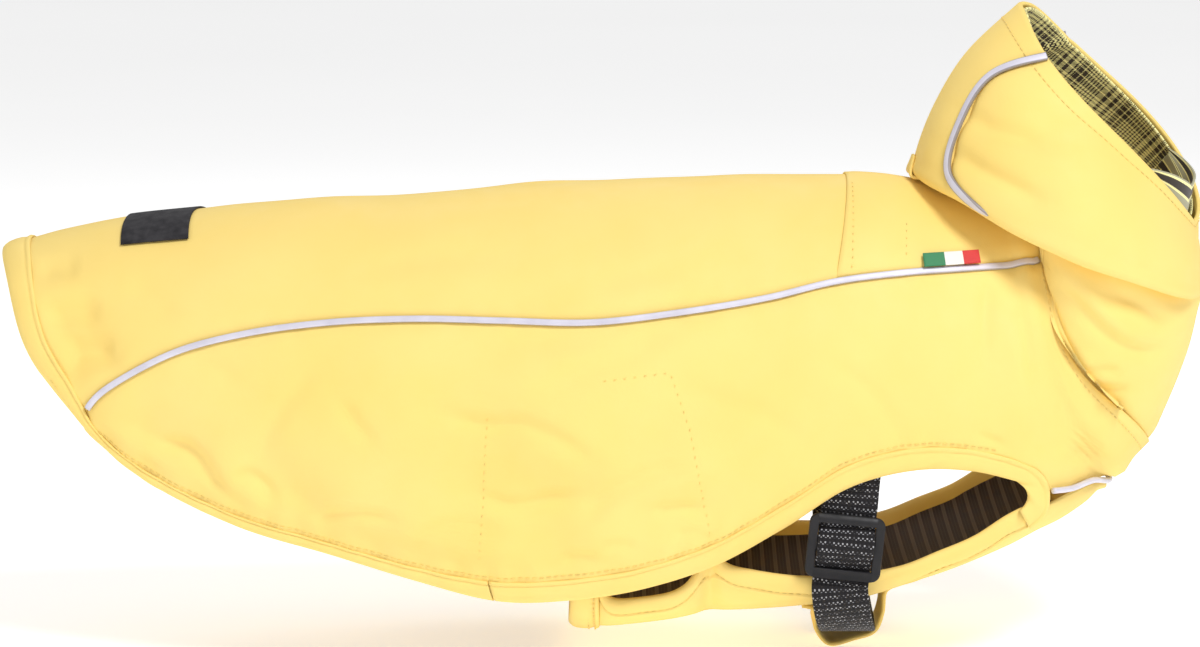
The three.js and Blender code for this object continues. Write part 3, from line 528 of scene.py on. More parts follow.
def hood_point(u, v):
    """The hood with its folds. Its foot lies inside the body's neck edge, where the seam holds it."""
    turn = np.abs((v + 180) % 360 - 180)
    u = np.where(u < 0, u * (1 - FOOT_SHORT * smooth(turn, 100, 150)), u)
    point, row = hood_form.point(u, v), row_at(HOOD, u)
    calm = smooth(np.abs(np.sin(np.radians(v))), 0.2, 0.7)
    near = smooth(np.abs(np.sin(np.radians(v))), 0.05, 0.4) * smooth(RIM_RING - u, 0, 0.5)
    from_seam = np.abs(np.radians(turn - row["seam"])) * row["half"]
    height = calm * fold_height(HOOD_FOLDS, point)
    height += near * (crease_height(HOOD_CREASES, point) + wave_height(point))
    height -= SEAM_DIP * np.exp(-((from_seam / SEAM_DIP_WIDE) ** 2)) * smooth(u, FOLD_RING, FOLD_RING + 0.3)
    deeper = HOOD_FOOT_DEPTH["side"] - HOOD_FOOT_DEPTH["back"]
    foot = HOOD_FOOT_DEPTH["back"] + deeper * smooth(turn, 44, 56)
    height -= foot * (1 - smooth(u, HOOD_FOOT_RING, 0.25))
    hanging = smooth(turn, 35, 75) * (1 - smooth(turn, 135, 168))
    height += FOLD_LIP * hanging * np.exp(-(((u - FOLD_RING - 0.08) / 0.22) ** 2))
    point = point + hood_form.out(u, v) * height[..., None]
    point[..., 1] *= 1 - UNDERCUT * hanging * smooth(u, 1.3, 2.4) * (1 - smooth(u, 2.7, FOLD_RING - 0.02))
    point[..., 2] -= OVERHANG * hanging * np.exp(-(((u - FOLD_RING) / 0.3) ** 2))
    return point


hood = Skin(hood_point)


def run_of(points):
    """Distance run along a line at each of its points."""
    return np.concatenate([[0], np.cumsum(np.linalg.norm(np.diff(points, axis=0), axis=1))])


def even_rows(skin, start, end, turn, count):
    """Rows an even distance apart, measured along one turn of a skin."""
    fine = np.linspace(start, end, 40 * count)
    run = run_of(skin.point(fine, np.full(fine.shape, float(turn))))
    return np.interp(np.linspace(0, run[-1], count + 1), run, fine)


def place_on(skin, line, count):
    """Rows and turns on a skin's right side under X, Z points, from a coarse search made exact."""
    line = np.array(line, float)
    run = run_of(line)
    at = np.linspace(0, run[-1], count)
    target = np.stack([np.interp(at, run, line[:, axis]) for axis in (0, 1)], -1)
    u, v = np.meshgrid(np.linspace(0, NECK_ROW, 181), np.linspace(2, 110, 109), indexing="ij")
    found = skin.point(u, v)[..., [0, 2]].reshape(-1, 2)
    best = np.argmin(((target[:, None] - found[None]) ** 2).sum(-1), axis=1)
    u, v = u.ravel()[best], v.ravel()[best]
    for _ in range(SEARCH_ROUNDS):
        error = target - skin.point(u, v)[..., [0, 2]]
        by_u = (skin.point(u + STEP, v) - skin.point(u - STEP, v))[..., [0, 2]] / (2 * STEP)
        by_v = (skin.point(u, v + STEP) - skin.point(u, v - STEP))[..., [0, 2]] / (2 * STEP)
        size = by_u[:, 0] * by_v[:, 1] - by_u[:, 1] * by_v[:, 0]
        size = np.where(np.abs(size) < 1e-6, 1e-6, size)
        u = u + np.clip((error[:, 0] * by_v[:, 1] - error[:, 1] * by_v[:, 0]) / size, -0.2, 0.2)
        v = v + np.clip((by_u[:, 0] * error[:, 1] - by_u[:, 1] * error[:, 0]) / size, -3, 3)
    return u, v


# Meshes


def grid_mesh(name, points, runs):
    """A mesh from a bmesh grid whose vertices go to points, in millimetres. Doubles are merged, so edges that
    meet close up. runs are the UV places, in millimetres of cloth."""
    rows, columns = points.shape[:2]
    bm = bmesh.new()
    bmesh.ops.create_grid(bm, x_segments=rows - 1, y_segments=columns - 1, size=1)
    if len(bm.verts) != rows * columns:
        raise RuntimeError(f"{name}: the grid has {len(bm.verts)} vertices, not {rows * columns}")
    layer = bm.loops.layers.uv.new(UV_NAME)
    bm.verts.index_update()
    places = [(round((vert.co.x + 1) / 2 * (rows - 1)), round((vert.co.y + 1) / 2 * (columns - 1)))
              for vert in bm.verts]
    for face in bm.faces:
        face.smooth = True
        for loop in face.loops:
            loop[layer].uv = runs[places[loop.vert.index]] * MM
    for vert in bm.verts:
        vert.co = points[places[vert.index]] * MM
    bmesh.ops.remove_doubles(bm, verts=bm.verts, dist=1e-7)
    flat = [face for face in bm.faces if face.calc_area() < 1e-14]
    bmesh.ops.delete(bm, geom=flat, context="FACES")
    if bm.calc_volume(signed=True) < 0:
        bmesh.ops.reverse_faces(bm, faces=bm.faces)
    return bm


def finish_piece(name, bm, look, nodes=()):
    """A named object at the origin from a bmesh, riding on the coat's one body."""
    mesh = bpy.data.meshes.new(name)
    bm.to_mesh(mesh)
    bm.free()
    mesh.materials.append(look)
    piece = bpy.data.objects.new(name, mesh)
    bpy.context.scene.collection.objects.link(piece)
    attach(piece, "root")
    if nodes:
        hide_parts(*nodes)
    return piece


def cloth_runs(points, ring=False):
    """UV places of a grid of points: length along the rows, and across from the middle or round a ring."""
    along = np.linalg.norm(np.diff(points, axis=0), axis=2).mean(axis=1)
    along = np.concatenate([[0], np.cumsum(along)])
    across = np.linalg.norm(np.diff(points, axis=1), axis=2)
    across = np.concatenate([np.zeros((len(points), 1)), np.cumsum(across, axis=1)], axis=1)
    if ring:
        across = np.broadcast_to(across.mean(axis=0), across.shape)
    else:
        across = across - across[:, [across.shape[1] // 2]]
    return np.stack([np.broadcast_to(along[:, None], across.shape), across], -1)


def shell(name, skin, u_values, v_values, thick, look, nodes=(), share_runs=False):
    """Cloth of even thickness on a skin, closed all round, with soft edges."""
    u, v = np.meshgrid(u_values, v_values, indexing="ij")
    middle, out = skin.point(u, v), skin.out(u, v) * thick / 2
    runs = cloth_runs(middle)
    if share_runs:
        runs = np.stack([(u - u.min()) / np.ptp(u), (v - v.min()) / np.ptp(v)], -1) / MM
    soft = thick * 0.35
    before = middle[:, :1] + unit(middle[:, :1] - middle[:, 1:2]) * soft
    after = middle[:, -1:] + unit(middle[:, -1:] - middle[:, -2:-1]) * soft
    loop = [before, middle + out, after, (middle - out)[:, ::-1], before]
    points = np.concatenate(loop, axis=1)
    flat = np.concatenate([before, middle, after, middle[:, ::-1], before], axis=1)
    runs = np.concatenate([runs[:, :1], runs, runs[:, -1:], runs[:, ::-1], runs[:, :1]], axis=1)
    first = flat[:1] + unit(flat[:1] - flat[1:2]) * soft
    last = flat[-1:] + unit(flat[-1:] - flat[-2:-1]) * soft
    points = np.concatenate([first, points, last])
    runs = np.concatenate([runs[:1], runs, runs[-1:]])
    return finish_piece(name, grid_mesh(name, points, runs), look, nodes)


def ring_shell(name, skin, u_values, v_values, thick, look, nodes=()):
    """Cloth of even thickness on a skin that closes on itself round v."""
    u, v = np.meshgrid(u_values, v_values, indexing="ij")
    middle, out = skin.point(u, v), skin.out(u, v) * thick / 2
    runs = cloth_runs(middle, ring=True)
    soft = thick * 0.35
    low = middle[:1] + unit(middle[:1] - middle[1:2]) * soft
    high = middle[-1:] + unit(middle[-1:] - middle[-2:-1]) * soft
    points = np.concatenate([low, middle + out, high, (middle - out)[::-1], low])
    runs = np.concatenate([runs[:1], runs, runs[-1:], runs[::-1], runs[:1]])
    return finish_piece(name, grid_mesh(name, points, runs), look, nodes)


def strip(name, middle, across, out, profile, look, slot, nodes=()):
    """A closed profile of (across, out) pairs swept along stations, with its ends drawn in and closed."""
    profile = np.asarray(profile, float)
    if profile.ndim == 2:
        profile = np.broadcast_to(profile, (len(middle), *profile.shape))
    profile = np.concatenate([profile, profile[:, :1]], axis=1)
    points = (middle[:, None] + across[:, None] * profile[..., :1] + out[:, None] * profile[..., 1:])
    run = run_of(middle)
    width = np.linalg.norm(across, axis=1)[:, None] * profile[..., 0]
    runs = np.stack([np.broadcast_to(run[:, None], width.shape), width], -1)
    ends = [points[:1].mean(axis=1, keepdims=True), points[-1:].mean(axis=1, keepdims=True)]
    first, last = (np.broadcast_to(end, points[:1].shape) for end in ends)
    points = np.concatenate([first, points, last])
    runs = np.concatenate([runs[:1], runs, runs[-1:]])
    return finish_piece(name, grid_mesh(name, points, runs), look, nodes)


def smooth_path(points, count):
    """Points an even distance apart on a smooth line through given points."""
    points = np.array(points, float)
    axes = range(points.shape[1])
    fine = row_at({"names": axes, "rows": points}, np.linspace(0, len(points) - 1, 30 * len(points)))
    fine = np.stack([fine[axis] for axis in axes], -1)
    run = run_of(fine)
    at = np.linspace(0, run[-1], count)
    return np.stack([np.interp(at, run, fine[:, axis]) for axis in axes], -1)


def directions(points, guide):
    """Directions across and out at each point of a line, where guide points across or out."""
    along = unit(np.gradient(points, axis=0))
    across = unit(guide - along * (guide * along).sum(-1, keepdims=True))
    return across, np.cross(across, along)


# Profiles: (across, out) pairs round a section


def round_profile(width, height, sides=12):
    turns = np.linspace(0, 2 * np.pi, sides, endpoint=False)
    return [(width / 2 * math.cos(turn), height / 2 * math.sin(turn)) for turn in turns]


def piping_profile(width, height):
    """A flattened cord: a broad, slightly domed face with rounded sides."""
    face = [(width / 2 * math.sin(turn), height * (0.34 + 0.16 * math.cos(turn)))
            for turn in np.linspace(-1.45, 1.45, 9)]
    under = [(width * 0.52, height * 0.1), (width * 0.42, -height * 0.3), (-width * 0.42, -height * 0.3),
             (-width * 0.52, height * 0.1)]
    return face + under


def flat_profile(width, thick, columns=6):
    """A flat strap's section with rounded edges."""
    half, soft = width / 2 - thick / 2, thick / 2
    top = [(x, soft) for x in np.linspace(half, -half, columns)]
    under = [(x, -soft) for x in np.linspace(-half, half, columns)]
    left = [(-half - soft * 0.8, soft * 0.55), (-half - soft, 0), (-half - soft * 0.8, -soft * 0.55)]
    right = [(half + soft * 0.8, -soft * 0.55), (half + soft, 0), (half + soft * 0.8, soft * 0.55)]
    return top + left + under + right


# Binding round an edge: share across the band from the edge, and height over the panel's middle
BINDING = [
    (1.0, 0.9), (0.97, 1.5), (0.9, 1.95), (0.84, 1.8), (0.79, 1.4), (0.74, 1.75), (0.6, 2.2), (0.4, 2.35),
    (0.2, 2.2), (0.06, 1.7), (-0.05, 0.9), (-0.09, 0), (-0.05, -0.9), (0.06, -1.7), (0.3, -2.0), (0.7, -1.9),
    (0.95, -1.6), (0.97, -1.2), (0.7, -1.1), (0.3, -1.15), (0.08, -1.0), (0.03, 0), (0.08, 1.0), (0.4, 1.1),
    (0.8, 0.95),
]


# Looks


class Look:
    """A material whose nodes are added with short calls."""

    def __init__(self, name, **settings):
        self.material = bpy.data.materials.new(name)
        self.material.use_nodes = True
        self.tree = self.material.node_tree
        self.shader = next(node for node in self.tree.nodes if node.type == "BSDF_PRINCIPLED")
        for socket, value in settings.items():
            self.shader.inputs[socket.replace("_", " ")].default_value = value

    def node(self, kind, inputs=(), output=0, **settings):
        node = self.tree.nodes.new(kind)
        for name, value in settings.items():
            setattr(node, name, value)
        for key, value in dict(inputs).items():
            self.join(value, node.inputs[key])
        return node.outputs[output]

    def join(self, value, socket):
        if isinstance(value, bpy.types.NodeSocket):
            self.tree.links.new(value, socket)
        else:
            socket.default_value = value

    def sum(self, operation, first, second=0.0, third=0.0):
        return self.node("ShaderNodeMath", {0: first, 1: second, 2: third}, operation=operation)

    def object_place(self):
        return self.node("ShaderNodeTexCoord", output="Object")

    def cloth_run(self):
        """Millimetres along and across the cloth."""
        place = self.node("ShaderNodeUVMap", uv_map=UV_NAME)
        scaled = self.node("ShaderNodeVectorMath", {0: place, "Scale": 1 / MM}, operation="SCALE")
        apart = self.tree.nodes.new("ShaderNodeSeparateXYZ")
        self.tree.links.new(scaled, apart.inputs[0])
        return apart.outputs[0], apart.outputs[1]

    def noise(self, scale, detail=2.0, place=None):
        return self.node("ShaderNodeTexNoise", {
            "Vector": place or self.object_place(), "Scale": scale, "Detail": detail})

    def fit(self, value, low, high, to_low=0.0, to_high=1.0):
        return self.node("ShaderNodeMapRange", {0: value, 1: low, 2: high, 3: to_low, 4: to_high})

    def mix(self, share, first, second):
        node = self.tree.nodes.new("ShaderNodeMix")
        node.data_type = "RGBA"
        for value, socket in ((share, node.inputs[0]), (first, node.inputs[6]), (second, node.inputs[7])):
            self.join(value, socket)
        return node.outputs[2]

    def stripe(self, value, repeat, dark):
        """1 on the first share of each repeat, 0 on the rest."""
        place = self.sum("FRACT", self.sum("DIVIDE", value, repeat))
        return self.sum("LESS_THAN", place, dark)

    def band(self, value, repeat, start, end):
        """1 between two places in each repeat, 0 elsewhere."""
        place = self.sum("MULTIPLY", self.sum("FRACT", self.sum("DIVIDE", value, repeat)), repeat)
        return self.sum("MULTIPLY", self.sum("GREATER_THAN", place, start), self.sum("LESS_THAN", place, end))

    def plaid_threads(self, run):
        """1 where the plaid's threads that cross this run are dark."""
        repeat, coarse_end = PLAID["repeat"], PLAID["coarse_end"]
        coarse = self.stripe(run, PLAID["coarse"], PLAID["coarse_dark"])
        coarse = self.sum("MULTIPLY", self.band(run, repeat, 0, coarse_end), coarse)
        fine = self.stripe(run, PLAID["fine"], PLAID["fine_dark"])
        fine = self.sum("MULTIPLY", self.band(run, repeat, coarse_end, repeat), fine)
        dark = self.sum("MAXIMUM", self.sum("ADD", coarse, fine), self.band(run, repeat, *PLAID["dark"]))
        return self.sum("SUBTRACT", dark, self.band(run, repeat, *PLAID["line"]))

    def weave(self, along, across, pitch):
        turn = 2 * math.pi / pitch
        first = self.sum("SINE", self.sum("MULTIPLY", along, turn))
        second = self.sum("SINE", self.sum("MULTIPLY", across, turn))
        return self.sum("MULTIPLY", first, second)

    def colour(self, value):
        self.join(value, self.shader.inputs["Base Color"])

    def rough(self, value):
        self.join(value, self.shader.inputs["Roughness"])

    def bump(self, *layers):
        """Layers of (height, distance in millimetres, strength), from the finest."""
        normal = None
        for height, distance, strength in layers:
            inputs = {"Height": height, "Distance": distance * MM, "Strength": strength}
            if normal is not None:
                inputs["Normal"] = normal
            normal = self.node("ShaderNodeBump", inputs)
        self.tree.links.new(normal, self.shader.inputs["Normal"])


def colours():
    return bpy.context.scene.coat_colours


def sizes():
    return bpy.context.scene.coat_sizes


def tint(name):
    return (*getattr(colours(), name), 1.0)


def named_look(name, make):
    return bpy.data.materials.get(name) or make(name)


def make_cloth(name):
    look = Look(name, Roughness=0.7, Sheen_Weight=0.2, Sheen_Roughness=0.45)
    look.shader.inputs["Sheen Tint"].default_value = tint("cloth")
    along, across = look.cloth_run()
    tone = look.fit(look.noise(16, 3), 0.35, 0.68)
    look.colour(look.mix(tone, tint("cloth"), tint("cloth_shade")))
    look.rough(look.fit(look.noise(120, 2), 0.3, 0.7, 0.62, 0.78))
    look.bump((look.weave(along, across, 0.7), 0.03, 0.5), (look.noise(900, 2), 0.05, 0.4),
              (look.noise(70, 3), 0.35, 0.35))
    return look.material


def make_thread(name):
    look = Look(name, Roughness=0.6, Sheen_Weight=0.2)
    look.colour(look.mix(look.fit(look.noise(300), 0.3, 0.7), tint("thread"), tint("cloth_shade")))
    look.bump((look.noise(2600), 0.05, 0.6))
    return look.material


def make_piping(name):
    """Pale ribbon with a darker line along both sides, where it enters the seam."""
    look = Look(name, Roughness=0.38, Metallic=0.12, Sheen_Weight=0.1)
    along, across = look.cloth_run()
    tone = look.fit(look.noise(90, 2), 0.3, 0.7)
    face = look.mix(tone, tint("piping"), tint("piping_shade"))
    # Painted shade: past this distance from its middle, the piping's sides turn dark where they meet the
    # cloth
    seam_shade = look.fit(look.sum("ABSOLUTE", across), PIPING_SHADE_FROM, PIPING_SHADE_FROM + 0.25)
    look.colour(look.mix(seam_shade, face, tint("piping_rim")))
    look.rough(look.fit(look.noise(400), 0.3, 0.7, 0.34, 0.5))
    look.bump((look.weave(along, across, 0.5), 0.02, 0.5), (look.noise(240, 2), 0.1, 0.4))
    return look.material


# Plaid: blocks of a coarse check, of fine lines and of solid dark, by place in the repeat (millimetres)
PLAID = {
    "repeat": 26, "coarse": 3.9, "coarse_dark": 0.45, "coarse_end": 9, "fine": 1.45, "fine_dark": 0.42,
    "dark": (19.5, 24), "line": (21.4, 22), "thread": 0.8, "start_along": 4, "start_across": 13,
}


def make_plaid(name):
    """Glen check: the same blocks of threads both ways, woven as a twill."""
    look = Look(name, Roughness=0.85, Sheen_Weight=0.1)
    along, across = look.cloth_run()
    twill = look.stripe(look.sum("ADD", along, across), PLAID["thread"], 0.5)
    threads = [look.plaid_threads(look.sum("ADD", run, PLAID[start]))
               for run, start in ((along, "start_along"), (across, "start_across"))]
    dark = look.node("ShaderNodeMix", {0: twill, 2: threads[0], 3: threads[1]})
    look.colour(look.mix(dark, tint("plaid_light"), tint("plaid_dark")))
    look.bump((look.weave(along, across, 0.6), 0.05, 0.5), (look.noise(90, 2), 0.3, 0.3))
    return look.material


THROAT_STRIPES = [
    (0.0, "plaid_dark"), (0.2, "plaid_light"), (0.26, "throat_grey"), (0.5, "plaid_light"),
    (0.56, "plaid_dark"), (0.62, "plaid_light"), (0.68, "throat_grey"), (0.94, "plaid_light"),
]
THROAT_REPEAT = 13


def make_throat(name):
    look = Look(name, Roughness=0.85, Sheen_Weight=0.15)
    along, across = look.cloth_run()
    ramp = look.tree.nodes.new("ShaderNodeValToRGB")
    ramp.color_ramp.interpolation = "CONSTANT"
    while len(ramp.color_ramp.elements) < len(THROAT_STRIPES):
        ramp.color_ramp.elements.new(0.5)
    for element, (place, colour) in zip(ramp.color_ramp.elements, THROAT_STRIPES):
        element.position, element.color = place, tint(colour)
    look.join(look.sum("FRACT", look.sum("DIVIDE", along, THROAT_REPEAT)), ramp.inputs[0])
    look.colour(ramp.outputs[0])
    look.bump((look.weave(along, across, 0.6), 0.05, 0.5), (look.noise(90, 2), 0.3, 0.3))
    return look.material


def make_dark(name):
    look = Look(name, Roughness=0.88, Sheen_Weight=0.1)
    along, across = look.cloth_run()
    stripes = look.sum("MULTIPLY", look.stripe(along, 5.2, 0.3), 0.8)
    fine = look.sum("MULTIPLY", look.stripe(along, 1.3, 0.35), 0.25)
    share = look.sum("MINIMUM", look.sum("ADD", stripes, fine), 1.0)
    look.colour(look.mix(share, tint("lining_dark"), tint("lining_stripe")))
    look.bump((look.weave(along, across, 0.6), 0.05, 0.5))
    return look.material


def make_webbing(name):
    """Black ribbed webbing with rows of pale woven dots across it."""
    look = Look(name, Roughness=0.75, Sheen_Weight=0.04, Specular_IOR_Level=0.3)
    along, across = look.cloth_run()
    dots = look.fit(look.weave(along, across, WEBBING_DOT), 0.25, 0.5)
    rows = look.stripe(along, WEBBING_ROW, 0.5)
    worn = look.fit(look.noise(420), 0.42, 0.52, 0.1, 1)
    share = look.sum("MULTIPLY", look.sum("MULTIPLY", dots, rows), worn)
    look.colour(look.mix(share, tint("webbing"), tint("webbing_dot")))
    ribs = look.sum("SINE", look.sum("MULTIPLY", along, 2 * math.pi / (WEBBING_DOT / 2)))
    look.bump((look.weave(along, across, WEBBING_DOT), 0.15, 0.8), (ribs, 0.1, 0.6))
    return look.material


def make_plastic(name):
    look = Look(name, Roughness=0.5, Specular_IOR_Level=0.3)
    look.colour(look.mix(look.fit(look.noise(180, 3), 0.4, 0.7), tint("plastic"), tint("plastic_worn")))
    look.rough(look.fit(look.noise(350, 3), 0.3, 0.7, 0.42, 0.58))
    look.bump((look.noise(2200, 2), 0.02, 0.4))
    return look.material


def make_label(name):
    look = Look(name, Roughness=0.75, Sheen_Weight=0.02, Specular_IOR_Level=0.25)
    along, across = look.cloth_run()
    look.colour(look.mix(look.fit(look.noise(260, 3), 0.3, 0.7), tint("label"), tint("label_thread")))
    look.bump((look.noise(1800, 2), 0.06, 0.5), (look.weave(along, across, 0.5), 0.03, 0.4))
    return look.material


def make_flag(name):
    """A woven ribbon of three colours, by its share along."""
    look = Look(name, Roughness=0.65, Sheen_Weight=0.2)
    place = look.node("ShaderNodeUVMap", uv_map=UV_NAME)
    apart = look.tree.nodes.new("ShaderNodeSeparateXYZ")
    look.tree.links.new(place, apart.inputs[0])
    past_first = look.sum("GREATER_THAN", apart.outputs[0], 1 / 3)
    past_second = look.sum("GREATER_THAN", apart.outputs[0], 2 / 3)
    first_two = look.mix(past_first, tint("flag_green"), tint("flag_white"))
    look.colour(look.mix(past_second, first_two, tint("flag_red")))
    look.bump((look.noise(2400, 2), 0.06, 0.7))
    return look.material


def make_floor(name):
    look = Look(name, Roughness=0.9, Emission_Strength=FLOOR_GLOW)
    look.shader.inputs["Emission Color"].default_value = tint("floor")
    look.colour(look.mix(look.fit(look.noise(1.5), 0.3, 0.7), tint("floor"), tint("floor_shade")))
    return look.material


LOOKS = {
    "coat_cloth": make_cloth,
    "coat_thread": make_thread,
    "coat_piping": make_piping,
    "coat_plaid": make_plaid,
    "coat_throat": make_throat,
    "coat_dark_lining": make_dark,
    "coat_webbing": make_webbing,
    "coat_plastic": make_plastic,
    "coat_label": make_label,
    "coat_flag": make_flag,
    "studio_floor": make_floor,
}


def look_of(name):
    return named_look(name, LOOKS[name])


# Pieces


def gap_turn(half, gap=SEAM_GAP):
    return np.degrees(gap / 2 / half)


def build_back():
    cloth = look_of("coat_cloth")

    def back(u, v):
        row = row_at(BODY, u)
        return body.point(u, v * (row["seam"] - gap_turn(row["half"])))

    shell("back_panel_cloth", Skin(back), even_rows(body_form, 0, NECK_ROW, 0, 250),
          np.linspace(-1, 1, 97), sizes().cloth_mm, cloth, ["back_panel"])

    def yoke(u, v):
        rear = np.clip((YOKE_SQUARE_ROW - u) / (YOKE_SQUARE_ROW - YOKE_REAR_ROW), 0, 1)
        row = row_at(BODY, u)
        turn = v * (row["seam"] - np.degrees(YOKE_SEAM_GAP / row["half"]))
        place = u - YOKE_REAR_CURVE * v * v * rear
        from_seam = np.radians(row["seam"] - np.abs(turn)) * row["half"]
        lift = YOKE_LIFT - YOKE_EDGE_DROP * (1 - smooth(u - YOKE_REAR_ROW, 0, 0.18))
        lift = lift * smooth(from_seam, -3, 8)
        return body.point(place, turn) + body.out(place, turn) * lift[..., None]

    shell("shoulder_yoke_cloth", Skin(yoke), even_rows(body_form, YOKE_REAR_ROW, YOKE_FRONT_ROW, 0, 60),
          np.linspace(-1, 1, 97), YOKE_CLOTH, cloth, ["shoulder_yoke"])


def build_sides():
    cloth = look_of("coat_cloth")
    for name, side in SIDES:
        def panel(u, v, side=side):
            row = row_at(BODY, u)
            gap = gap_turn(row["half"])
            end = row["wrap"] - np.where(u > CHEST_SEAM_ROW, gap, 0)
            start = row["seam"] + gap
            return body.point(u, side * (start + (end - start) * v))

        shell(f"side_panel_{name}_cloth", Skin(panel, -side), even_rows(body_form, 0, NECK_ROW, 90, 270),
              np.linspace(0, 1, 71), sizes().cloth_mm, cloth, [f"side_panel_{name}"])


def binding(name, edge, inner, out, nodes, gather=BAND_PUCKER):
    """A bound edge: from points on the edge to points on its inner line, over the panel's middle."""
    across = inner - edge
    run = run_of(edge)
    profile = np.broadcast_to(np.array(BINDING), (len(edge), len(BINDING), 2)).copy()
    gathers = pucker(run, 0, 1, gather)[:, None]
    top = np.array([1.0 if rise > 0.85 and share > 0 else 0.0 for share, rise in BINDING])
    profile[..., 1] += gathers * top
    return strip(name, edge, across, out, profile, look_of("coat_cloth"), "cloth", nodes)


def hem_half(side, count=150):
    """Rows and turns of the hem band's edge and inner line, from the tail's middle to the leg hole."""
    tail_end = BODY["rows"][0][5]
    turns = np.linspace(0, tail_end - 6, 40)
    width = 7 - 2 * turns / tail_end
    speed = np.linalg.norm(body_form.point(np.full(turns.shape, STEP), turns) - body_form.point(
        np.zeros(turns.shape), turns), axis=-1) / STEP
    tail_edge = np.stack([np.zeros(turns.shape), side * turns], -1)
    tail_inner = np.stack([width / speed, side * turns], -1)
    rows = even_rows(body_form, 0.35, LEG_BAND_ROW - 0.02, 110, count)
    row = row_at(BODY, rows)
    hem_edge = np.stack([rows, side * row["wrap"]], -1)
    hem_inner = np.stack([rows, side * (row["wrap"] - np.degrees(row["band"] / row["half"]))], -1)
    corner_edge = np.array([[0, side * tail_end], [0.18, side * row_at(BODY, 0.18)["wrap"]]])
    corner_inner = np.array([[0.2, side * (tail_end - 5)], [0.3, side * (tail_end - 4.5)]])
    edge = np.concatenate([tail_edge, corner_edge, hem_edge])
    return edge, np.concatenate([tail_inner, corner_inner, hem_inner])


def round_corner(points, station):
    """Draws a line's stations near a corner towards their neighbours, so that it runs round."""
    low, high = station - CORNER["reach"], station + CORNER["reach"]
    for _ in range(CORNER["rounds"]):
        points[low:high] = (points[low - 1:high - 1] + 2 * points[low:high] + points[low + 1:high + 1]) / 4


def build_bands():
    edge_right, inner_right = hem_half(1)
    edge_left, inner_left = hem_half(-1)
    edge = np.concatenate([edge_left[:0:-1], edge_right])
    inner = np.concatenate([inner_left[:0:-1], inner_right])
    points = [body_form.point(line[:, 0], line[:, 1]) for line in (edge, inner)]
    for line in points:
        for station in (len(edge_left) - 1 - CORNER["station"], len(edge_left) - 1 + CORNER["station"]):
            round_corner(line, station)
    middle = (edge + inner) / 2
    out = body_form.out(np.maximum(middle[:, 0], STEP), middle[:, 1])
    binding("hem_band_cloth", *points, out, ["hem_band"])
    for name, side in SIDES:
        rows = even_rows(body_form, LEG_BAND_ROW, LEG_TURN_ROW, 115, 120)
        row = row_at(BODY, rows)
        wrap, inner_turn = row["wrap"], row["wrap"] - np.degrees(row["band"] / row["half"])
        edge, inner = body_form.point(rows, side * wrap), body_form.point(rows, side * inner_turn)
        out = body_form.out(rows, side * (wrap + inner_turn) / 2)
        turn = row_at(LEG_TURN, np.linspace(0, 4, 30))
        radians = np.radians(turn["turn"])
        around = [np.stack([LEG_TURN_CENTRE[0] + radius * np.cos(radians), -side * y,
                            LEG_TURN_CENTRE[1] + radius * np.sin(radians)], -1)
                  for radius, y in ((LEG_TURN_RADIUS, turn["edge_y"]),
                                    (LEG_TURN_RADIUS + LEG_BAND_WIDTH, turn["inner_y"]))]
        along = np.stack([-np.sin(radians), np.zeros(30), np.cos(radians)], -1)
        turn_out = unit(np.cross(around[1] - around[0], along)) * side
        edge = np.concatenate([edge, around[0] - turn_out * LEG_TURN_SINK])
        inner = np.concatenate([inner, around[1] - turn_out * LEG_TURN_SINK])
        out = np.concatenate([out, turn_out])
        edge, inner, out = (smooth_path(line, 170) for line in (edge, inner, out))
        gather = BAND_PUCKER + TURN_PUCKER * smooth(np.linspace(0, 1, 170), 0.86, 0.96)
        binding(f"leg_band_{name}_cloth", edge, inner, unit(out), [f"leg_band_{name}"], gather)


def belly_line(side, rows, width):
    """Edge and inner points of a belly band, and its outward directions."""
    from_tab = smooth(np.abs(rows - BELLY_TAB_ROW), 0, 1)
    turns = np.full(rows.shape, float(BELLY_BAND_TURN))
    steps = belly_form.point(rows, turns + STEP) - belly_form.point(rows, turns - STEP)
    speed = np.linalg.norm(steps, axis=-1)
    turn = (TAB_MITRE + (width - TAB_MITRE) * from_tab) / (speed / (2 * STEP))
    edge = belly_form.point(rows, np.full(rows.shape, float(side * BELLY_EDGE_TURN)))
    inner = belly_form.point(rows, side * (BELLY_EDGE_TURN - turn))
    out = belly_form.out(rows, side * (BELLY_EDGE_TURN - turn / 2))
    return edge, inner, out


def build_belly():
    cloth = look_of("coat_cloth")
    rows = even_rows(belly_form, 0, BELLY_REAR_ROW, 60, 170)
    shell("belly_panel_cloth", belly, rows, np.linspace(-80, 80, 81), sizes().cloth_mm, cloth,
          ["belly_panel"])
    bands = (("edge", BELLY_TURN_ROW - BELLY_BAND_TUCK, BELLY_TAB_ROW - 0.1, LEG_BAND_WIDTH, 110),
             ("side", BELLY_TAB_ROW + 0.1, BELLY_BAND_ROW, SIDE_BAND_WIDTH, 50))
    for name, side in SIDES:
        for kind, start, end, width, count in bands:
            line = even_rows(belly_form, start, end, BELLY_BAND_TURN, count)
            edge, inner, out = belly_line(side, line, width)
            binding(f"belly_{kind}_band_{name}_cloth", edge, inner, out, [f"belly_{kind}_band_{name}"])
    turns = np.linspace(-80, 80, 90)
    points = [belly_form.point(np.full(turns.shape, float(row)), turns)
              for row in (BELLY_REAR_ROW, BELLY_BAND_ROW + 0.1)]
    out = belly_form.out(np.full(turns.shape, float(BELLY_REAR_ROW - 1)), turns)
    binding("belly_rear_band_cloth", *points, out, ["belly_rear_band"])
    shell("belly_lining_cloth", belly_form.lifted(-BELLY_LINING_DEPTH),
          even_rows(belly_form, 3, BELLY_REAR_ROW - 0.1, 60, 100), np.linspace(-69, 69, 57),
          sizes().lining_mm, look_of("coat_dark_lining"), ["belly_lining"])


